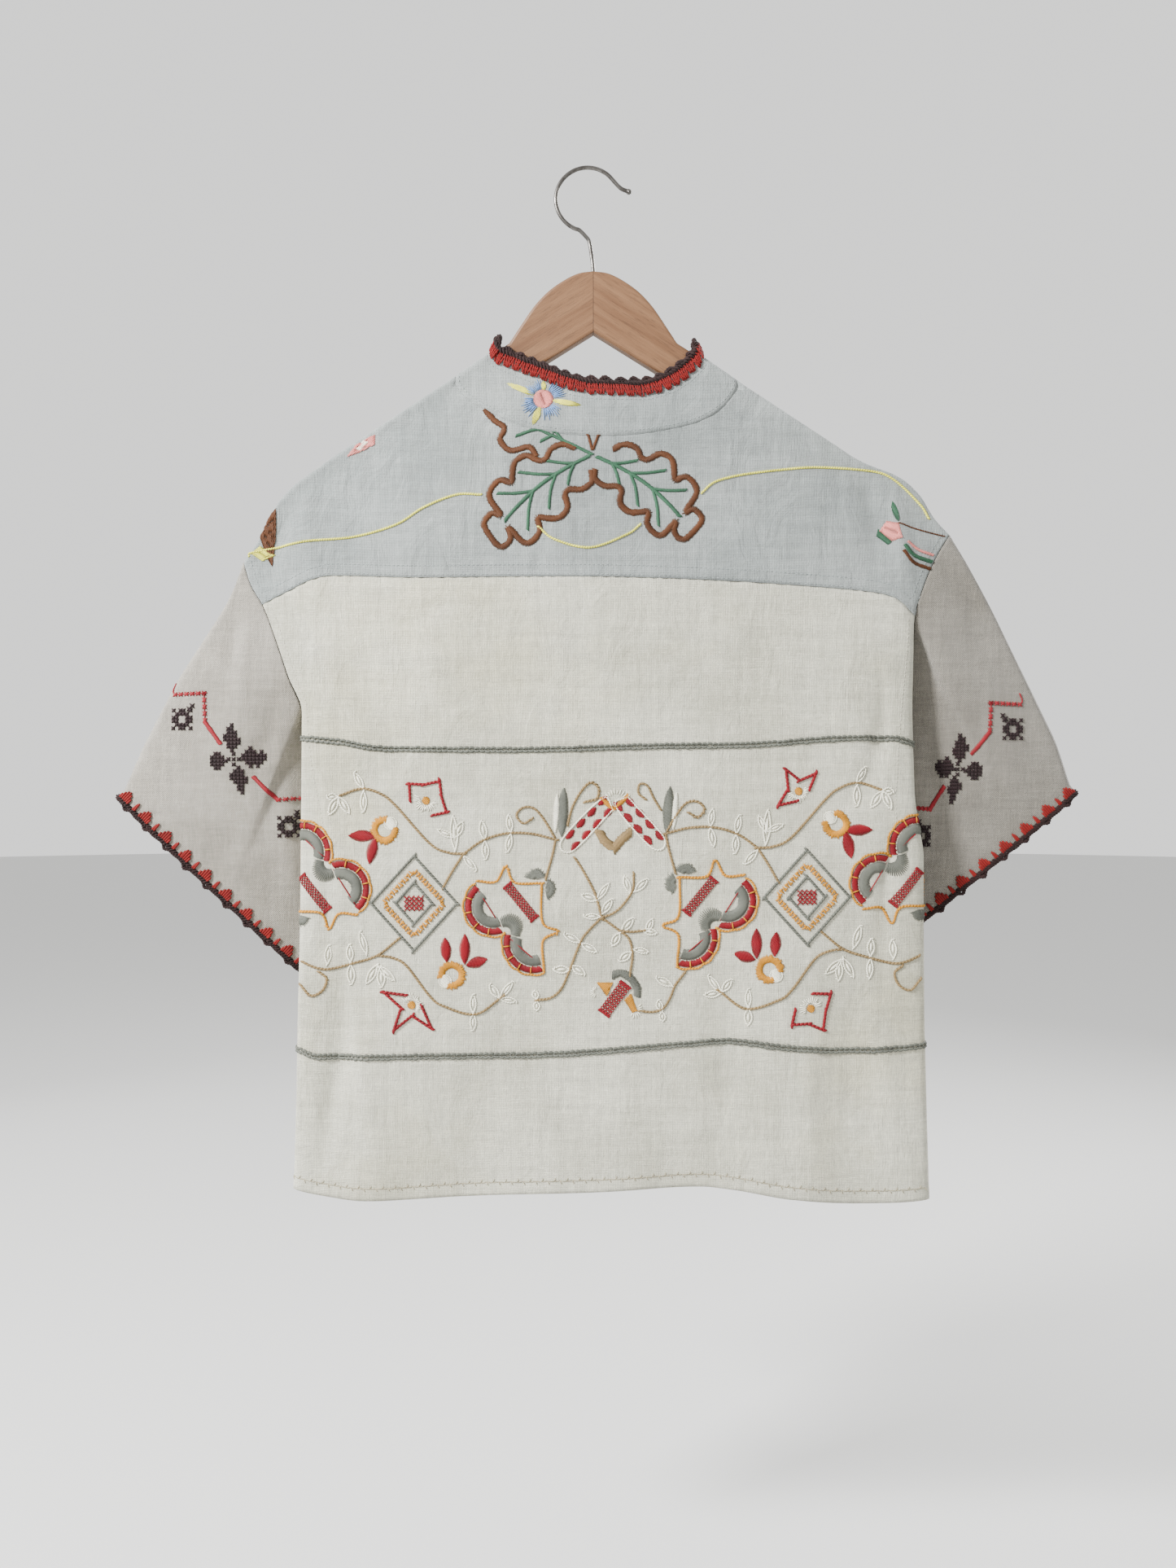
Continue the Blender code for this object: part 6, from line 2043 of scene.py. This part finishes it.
def zigzag(hand, middle, half_x, half_z):
    """An ochre zigzag band round the inside of a diamond."""
    for start, end in diamond(half_x, half_z):
        ahead = (end - start) / np.linalg.norm(end - start)
        aside = sideways(ahead)
        steps = np.arange(1.5, np.linalg.norm(end - start) - 1.0, 3.3)
        spots = middle + start + ahead * steps[:, None]
        swing = np.where(np.arange(len(steps)) % 2, 1.0, -1.0)[:, None]
        across = (spots - aside * 2.6 * swing, spots + aside * 2.6 * swing + ahead * 1.2)
        onward = (
            spots - ahead * 1.8 + aside * 1.4 * swing,
            spots + ahead * 1.8 + aside * 1.2 * swing,
        )
        for ends in (across, onward):
            OCHRE.stitches(back, mirrored(hand, np.stack(ends, axis=1)), 1.75, 0.4, 0.2)


def make_open_flower(x, z, tips, tip_reach, notch_reach, tuft_angle):
    """A red outline, notched between its tips and open at a cream tuft, round an ochre middle."""
    centre = np.array([x, z], float)
    rows = [(tips[0] - OPEN_END_TURN, notch_reach)]
    for tip, following in zip(tips, tips[1:]):
        rows += [(tip, tip_reach), ((tip + following) / 2, notch_reach)]
    rows += [(tips[-1], tip_reach), (tips[-1] + OPEN_END_TURN, notch_reach)]
    turn = np.radians([row[0] for row in rows])
    reach = np.array([row[1] for row in rows])[:, None]
    line = centre + np.stack([np.cos(turn), np.sin(turn)], axis=-1) * reach
    for start, end in zip(line, line[1:]):
        stem(RED, back, (start, end), 3.6, 3.2)
    fill(OCHRE, back, centre + 3.4 * circle(12), 30.0, 0.9)
    fan(CREAM, back, centre, tuft_angle - 95, tuft_angle + 95, 4.5, 11.0, 11.0, 1.0, 0.35)
    fan(CREAM, back, centre, tuft_angle - 80, tuft_angle + 80, 4.0, 8.0, 13.0, 1.0, 0.3)


# The open flowers: place, angles of the tips, reach of tips and notches, way the tuft points.
OPEN_END_TURN = 40.0
OPEN_FLOWERS = (
    (-137, -550, (-30, 55, 135), 20.0, 13.5, 250.0),
    (-149, -723, (155, 235, 310), 26.0, 9.0, 50.0),
    (179, -542, (45, 120, 215), 21.0, 9.0, 290.0),
    (189, -726, (-140, -60, 35), 21.0, 13.0, 115.0),
)


def make_bars():
    """Two crossed white bars with red dashes along their edges, over a tan chevron."""
    for start, end in (((17, -553), (-17, -588)), ((29, -551), (60, -586))):
        start, end = np.array(start, float), np.array(end, float)
        run = end - start
        ahead = run / np.linalg.norm(run)
        aside = sideways(ahead)
        corners = [start + aside * 6.5, end + aside * 6.5, end - aside * 6.5, start - aside * 6.5]
        stem(CREAM, back, corners + corners[:1], 1.9, 2.3)
        for edge, first in ((5.0, 0.10), (-5.0, 0.02)):
            for share in first + np.array((0.0, 0.27, 0.54, 0.81)):
                middle = start + run * share + aside * edge
                shape = petal_shape(middle - ahead * 5.2, middle + ahead * 5.2, 6.4)
                fill(RED, back, shape, facing(aside) + 20, 0.9)
        satin_line(OCHRE, back, (start + aside * 7.5, start - aside * 7.5), 4.2, 0.9)
    satin_line(TAN, back, ((9, -575), (14, -583), (22, -591)), 8.0, 1.1, 0.8)
    satin_line(TAN, back, ((22, -591), (29, -583), (37, -576)), 8.0, 1.1, 0.8)
    fan(CREAM, back, np.array((24.0, -552.0)), 40.0, 140.0, 7.0, 13.0, 13.0, 1.0, 0.2)
    for base, tip, side in (((-22, -581), (-20, -539), -1.0), ((67, -578), (70, -538), 1.0)):
        base, tip = np.array(base, float), np.array(tip, float)
        fill(GREY, back, petal_shape(base, tip, 9.5, 1.0), 12.0 * side, 0.9)
        fill(CREAM, back, petal_shape(base + (5.5 * side, 4), tip + (5.5 * side, -5), 5.0, 1.0), 20.0, 1.0)


def make_low_flower():
    """The small flower at the foot of the middle vine."""
    fill(OCHRE, back, ((8, -704), (22, -704), (16, -716)), 60.0, 0.9)
    fill(OCHRE, back, ((31, -719), (38, -730), (42, -728), (37, -713)), 60.0, 0.9)
    checker_bar((32, -706), (14, -730), 11.0)
    satin_line(GREY, back, ((21, -698), (29, -696), (37, -701), (42, -709), (42, -716)), 7.0, 0.9)
    fan(CREAM, back, np.array((8.0, -712.0)), 110.0, 240.0, 2.0, 6.0, 16.0, 0.9)
    fan(CREAM, back, np.array((40.0, -727.0)), 240.0, 400.0, 3.0, 8.0, 18.0, 0.9)


def chain_line(height_rows):
    """A line of open chain stitches right across the back and round both side folds."""
    curve = smooth(height_rows)
    angles = np.linspace(-106.0, 106.0, 400)
    z = np.full(angles.shape, height_rows[0][1], float)
    for _ in range(3):
        z = curve(body_points(angles, z)[:, 0])
    line = body_points(angles, z)
    places, _ = flowing(line[::6], 4.6)
    snapped, outs = back.snapped(places)
    ahead = unit(np.gradient(snapped, axis=0))
    aside = np.cross(ahead, outs)
    share = np.linspace(0.0, 1.0, 6)[None, :, None]
    start, step = snapped[:-1, None], (snapped[1:] - snapped[:-1])[:, None] * 1.18
    bow = np.sin(math.pi * share) ** 0.6
    lift = outs[:-1, None] * (0.3 + 0.35 * np.sin(math.pi * share))
    for side in (-1.0, 1.0):
        wide = 1.75 + RANDOM.uniform(-0.4, 0.4, (len(step), 1, 1))
        line = start + step * share + aside[:-1, None] * side * bow * wide + lift
        GREY.strands(line, np.broadcast_to(outs[:-1, None], line.shape), 2.5)


UPPER_CHAIN = (
    (-243, -497),
    (-212, -500),
    (-173, -506),
    (-56, -507),
    (54, -504),
    (131, -503),
    (229, -497),
    (258, -497),
    (283, -503),
)
LOWER_CHAIN = (
    (-244, -763),
    (-231, -768),
    (-153, -767),
    (-57, -766),
    (54, -759),
    (121, -754),
    (169, -759),
    (219, -762),
    (286, -759),
)

# An oak leaf's lobes, as shares of its length: middle, half width, foot's and tip's reach.
OAK_LOBES = (
    (0.20, 0.13, 0.09, 0.23),
    (0.50, 0.13, 0.15, 0.32),
    (0.79, 0.12, 0.16, 0.30),
    (1.00, 0.09, 0.03, 0.15),
)
# Oak leaves: base x, z, tip x, z, bow of the midrib.
OAK_LEAVES = ((2, -256, -77, -320, 7.0), (8, -257, 85, -316, -7.0))
OAK_TWIGS = (((0, -236), (4, -251)), ((10, -236), (5, -250)))
OAK_UPPER = ((-88, -214), (-80, -224), (-71, -231), (-75, -241), (-66, -251), (-50, -248), (-44, -256))
UPPER_VEINS = (
    ((-61, -238), (-44, -233), (-33, -237), (-14, -246), (4, -255)),
    ((-30, -238), (-40, -243)),
    ((-22, -242), (-28, -234)),
)


def oak_places(leaf_row, shares, aside):
    """Places on an oak leaf from shares of its length along and beside the midrib."""
    x0, z0, x1, z1, bow = leaf_row
    base, reach = np.array((x0, z0), float), np.array((x1 - x0, z1 - z0), float)
    length = np.linalg.norm(reach)
    ahead = reach / length
    beside = sideways(ahead)
    shares, aside = np.asarray(shares, float), np.asarray(aside, float)
    sway = aside * length - bow * np.sin(math.pi * np.clip(shares, 0.0, 1.0))
    return base + shares[:, None] * length * ahead + sway[:, None] * beside


def oak_outline(leaf_row):
    """The leaf's outline: half-oval lobes up one side, round the tip and down the other."""
    along_leaf, beside = [0.0], [0.0]
    for middle, half, foot, reach in OAK_LOBES:
        for turn in np.radians((8.0, 55.0, 105.0, 150.0)):
            along_leaf.append(middle - half * math.cos(turn))
            beside.append(foot + (reach - foot) * math.sin(turn) ** 0.75)
    back_along = [share - 0.015 for share in along_leaf[:0:-1]]
    back_beside = [-reach * 0.92 for reach in beside[:0:-1]]
    return oak_places(leaf_row, along_leaf + back_along, beside + back_beside)


def make_oak_leaf(leaf_row):
    """An oak leaf: a rust brown outline, a green midrib and three pairs of green veins."""
    satin_line(BROWN, yoke, oak_outline(leaf_row)[1:], 5.6, 0.8)
    shares = (0.0, 0.25, 0.5, 0.75, 0.9)
    satin_line(GREEN, yoke, oak_places(leaf_row, shares, np.zeros(5)), 3.2, 0.9, 0.9)
    for start, end, aside in ((0.14, 0.30, 0.13), (0.32, 0.55, 0.2), (0.56, 0.80, 0.2)):
        for side in (1.0, -1.0):
            beside = (0.0, side * aside * 0.42, side * aside)
            vein = oak_places(leaf_row, (start, (start + end) / 2, end), beside)
            satin_line(GREEN, yoke, vein, 2.6, 0.9, 0.9)


YELLOW_STEMS = (
    (
        (-296, -337),
        (-283, -334),
        (-240, -327),
        (-200, -324),
        (-164, -314),
        (-141, -300),
        (-113, -289),
        (-92, -289),
    ),
    ((-42, -317), (-28, -328), (2, -335), (33, -324), (44, -316)),
    (
        (97, -288),
        (111, -277),
        (145, -269),
        (199, -263),
        (245, -265),
        (266, -273),
        (288, -294),
        (295, -305),
    ),
)


def make_yoke_work():
    """The yoke's embroidery: oak leaves, twigs, yellow stems and the small buds near the armholes."""
    for leaf_row in OAK_LEAVES:
        make_oak_leaf(leaf_row)
    satin_line(BROWN, yoke, OAK_UPPER, 5.4, 0.8)
    for line in OAK_TWIGS:
        satin_line(BROWN, yoke, line, 2.6, 0.9)
    for line in UPPER_VEINS:
        satin_line(GREEN, yoke, line, 2.6, 0.9, 0.9)
    for line in YELLOW_STEMS:
        stem(YELLOW, yoke, line, 2.6, 2.2)
    long_bud = ((-270, -297), (-270, -318), (-273, -348), (-278, -340), (-285, -320), (-279, -306))
    fill(BROWN, yoke, long_bud, 80.0, 0.8)
    fill(YELLOW, yoke, ((-292, -336), (-284, -330), (-270, -338), (-282, -343)), 10.0, 0.9)
    fill(PINK, yoke, ((-209, -253), (-201, -243), (-184, -233), (-184, -242), (-197, -249)), 35.0, 0.9)
    fill(CREAM, yoke, ((-200, -246), (-194, -238), (-190, -240), (-196, -249)), 100.0, 1.0)
    fill(GREEN, yoke, petal_shape((263, -291), (268, -310), 5.0), 80.0, 0.8)
    fill(PINK, yoke, ((258, -309), (268, -311), (271, -324), (262, -327), (252, -318)), 70.0, 0.8)
    fill(GREEN, yoke, ((251, -316), (262, -327), (259, -330), (249, -322)), 40.0, 0.8)
    stem(BROWN, yoke, ((268, -311), (285, -316), (308, -321)), 1.6, 2.2)
    satin_line(GREEN, yoke, ((273, -330), (282, -339), (298, -344)), 3.6, 0.8)
    satin_line(BROWN, yoke, ((272, -335), (281, -345), (296, -350)), 3.2, 0.8)
    satin_line(PINK, yoke, ((276, -327), (286, -334), (299, -338)), 2.4, 0.8)


def make_collar_flower():
    """The collar's flower: four blue fans and four yellow petals round a pink middle."""
    centre = np.array((-38.0, -205.0))
    for angle in (35.0, 128.0, 205.0, 300.0):
        for inner, outer, step in ((8.0, 21.0, 6.0), (9.0, 16.0, 8.0)):
            fan(BLUE, collar, centre, angle - 27, angle + 27, inner, outer, step, 1.0, 0.22)
    for tip, width in (((-70, -190), 5.2), ((-38, -188), 4.2), ((-5, -211), 5.2), ((-47, -229), 5.6)):
        reach = np.array(tip) - centre
        start = centre + reach / np.linalg.norm(reach) * 7.0
        shape = petal_shape(start, tip, width, 0.8)
        fill(YELLOW, collar, shape, facing(reach), 0.8, 0.2, 60.0)
    fill(PINK, collar, centre + 8.6 * circle(18), 20.0, 0.8)


# Cross-stitch of the sleeves, given as charts.
PETAL_CHARTS = (
    ("..x..", ".xx..", ".xxx.", "xxxx.", "xxxxx", ".xxxx", ".xxx.", "..x.."),
    ("..x....", ".xxx.x.", "xxxxxxx", "xxxxxxx", ".xxxxx.", "..x.x.."),
    ("..x..", ".xxx.", "xxxx.", "xxxxx", ".xxxx", "..xx.", "..xx.", "...x."),
    (".xx..", "xxxx.", "xxxxx", "xxxx.", ".xx.."),
)
PETAL_PLACES = ((-1.5, 18.5), (17.5, 1.8), (4.0, -18.0), (-13.0, -1.5))
EYE_PLACES = ((0.0, 0.0), (0.0, 4.5), (0.0, -4.5), (4.5, 0.0), (-4.5, 0.0))
SQUARE_CHART = ("x.xx.x", ".xxxx.", "xx..xx", "xx..xx", ".xxxx.", "x.xx.x")
# Squares beside the flower: middle, and where the crosses that link it to the flower's lines end.
SQUARES = (((-46.0, 34.5), (-36.0, 47.0)), ((45.0, -58.5), (52.0, -45.0)))
# Rows of wine red crosses: start, end, number.
WINE_ROWS = (
    ((-53.0, 56.0), (-26.5, 57.0), 6),
    ((-26.5, 57.0), (-25.5, 33.5), 5),
    ((37.0, -35.0), (55.0, -34.0), 4),
)
SLEEVE_FLOWER = {-1: (-305.0, -514.5), 1: (322.0, -523.0)}
INNER_SHARE = {-1: 1.0, 1: 0.62}


def make_sleeve_work(hand):
    """A sleeve's cross-stitch: a flower with two squares, joined by wine red lines."""
    cloth = sleeves[hand]
    centre = np.array(SLEEVE_FLOWER[hand])

    def place(flat):
        flat = np.asarray(flat, float)
        x = np.where(flat[..., 0] > 0, flat[..., 0] * INNER_SHARE[hand], flat[..., 0])
        return centre + np.stack([-hand * x, flat[..., 1]], axis=-1)

    for chart, spot in zip(PETAL_CHARTS, PETAL_PLACES):
        crosses(DARK[hand], cloth, place(charted(chart, spot, 3.1)), 3.5, 1.75)
    crosses(DARK[hand], cloth, place(EYE_PLACES), 3.6, 1.6)
    for spot, link in SQUARES:
        crosses(DARK[hand], cloth, place(charted(SQUARE_CHART, spot, 3.1)), 3.5, 1.75)
        near = np.array(spot) + np.array((5.5, 8.0))
        links = [near + (np.array(link) - near) * share for share in (0.2, 0.8)]
        crosses(DARK[hand], cloth, place(links), 4.6, 1.6)
    for start, end, count in WINE_ROWS:
        share = np.linspace(0.0, 1.0, count)[:, None]
        spots = place(np.array(start) * (1 - share) + np.array(end) * share)
        crosses(WINE[hand], cloth, spots, 4.2, 1.6)
        stem(WINE[hand], cloth, (spots[0], spots[-1]), 1.5, 2.8)
    stem(WINE[hand], cloth, place(((-53.5, 56.0), (-55.0, 59.0), (-53.5, 64.0))), 2.0, 2.0)
    satin_line(WINE[hand], cloth, place(((-25.5, 32.0), (-11.5, 13.0))), 3.8, 0.9)
    satin_line(WINE[hand], cloth, place(((16.5, -15.0), (37.0, -36.0))), 3.8, 0.9)


RED = Threads("red_thread", thread("red cotton", (0.17, 0.001, 0.006)), "cream_linen")
OCHRE = Threads("ochre_thread", thread("ochre cotton", (0.43, 0.18, 0.008)), "cream_linen")
GREY = Threads("grey_thread", thread("grey cotton", (0.098, 0.102, 0.084)), "cream_linen")
TAN = Threads("tan_thread", thread("tan cotton", (0.20, 0.132, 0.056)), "cream_linen")
CREAM = Threads("cream_thread", thread("cream cotton", (0.76, 0.74, 0.61), 0.08), "cream_linen")
BROWN = Threads("brown_thread", thread("rust brown cotton", (0.075, 0.024, 0.006)), "blue_linen")
GREEN = Threads("green_thread", thread("green cotton", (0.026, 0.085, 0.045)), "blue_linen")
YELLOW = Threads("yellow_thread", thread("yellow cotton", (0.6, 0.58, 0.075)), "blue_linen")
PINK = Threads("pink_thread", thread("pink cotton", (0.6, 0.2, 0.175)), "blue_linen")
BLUE = Threads("blue_thread", thread("blue cotton", (0.125, 0.22, 0.42)), "blue_linen")
DARK_COTTON = thread("dark brown cotton", (0.011, 0.003, 0.004))
WINE_COTTON = thread("wine red cotton", (0.21, 0.008, 0.014))
DARK = {hand: Threads(f"dark_thread_{side}", DARK_COTTON, "greige_linen") for hand, side in HANDS}
WINE = {hand: Threads(f"wine_thread_{side}", WINE_COTTON, "greige_linen") for hand, side in HANDS}

for hand in (-1, 1):
    make_band_half(hand)
    make_sleeve_work(hand)
for line in CURLS + MIDDLE_VINES:
    stem(TAN, back, line, VINE_WIDTH, VINE_WIDTH)
for x0, z0, x1, z1 in MIDDLE_LEAVES:
    leaf(CREAM, back, (x0, z0), (x1, z1))
for open_flower in OPEN_FLOWERS:
    make_open_flower(*open_flower)
make_bars()
make_low_flower()
chain_line(UPPER_CHAIN)
chain_line(LOWER_CHAIN)
make_yoke_work()
make_collar_flower()
back_threads = [threads.show() for threads in (RED, OCHRE, GREY, TAN, CREAM)]
yoke_threads = [threads.show() for threads in (BROWN, GREEN, YELLOW, PINK, BLUE)]
sleeve_threads = {hand: [DARK[hand].show(), WINE[hand].show()] for hand, _ in HANDS}

COTTON_RED = thread("red crochet cotton", (0.15, 0.004, 0.003), 0.14, 0.78)
COTTON_DARK = thread("dark brown crochet cotton", (0.015, 0.005, 0.0045), 0.2, 0.82)
CHROME = chrome()
make_hanger()
make_hook()
make_buttons()
make_sewing()
make_neck_crochet(collar_seam, collar_top)
for hand, side in HANDS:
    make_cuff_crochet(hand, side)

# What each piece that shows was cut to, in metres: width, length, flat area, what holds it.
CUTS = (
    (back_obj, 0.60, 0.53, 0.314, "yoke", back_threads),
    (yoke_obj, 0.64, 0.24, 0.091, "hanger_wood", yoke_threads),
    (front_objs[-1], 0.30, 0.66, 0.161, "yoke", ()),
    (front_objs[1], 0.30, 0.66, 0.162, "yoke", ()),
    (sleeve_objs[-1], 0.52, 0.19, 0.075, "yoke", sleeve_threads[-1]),
    (sleeve_objs[1], 0.56, 0.18, 0.071, "yoke", sleeve_threads[1]),
    (collar_obj, 0.66, 0.05, 0.027, "yoke", ()),
    (band_obj, 0.030, 0.607, 0.0182, "front_left", ()),
)
for obj, width, length, area, held_by, pieces in CUTS:
    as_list(pieces)
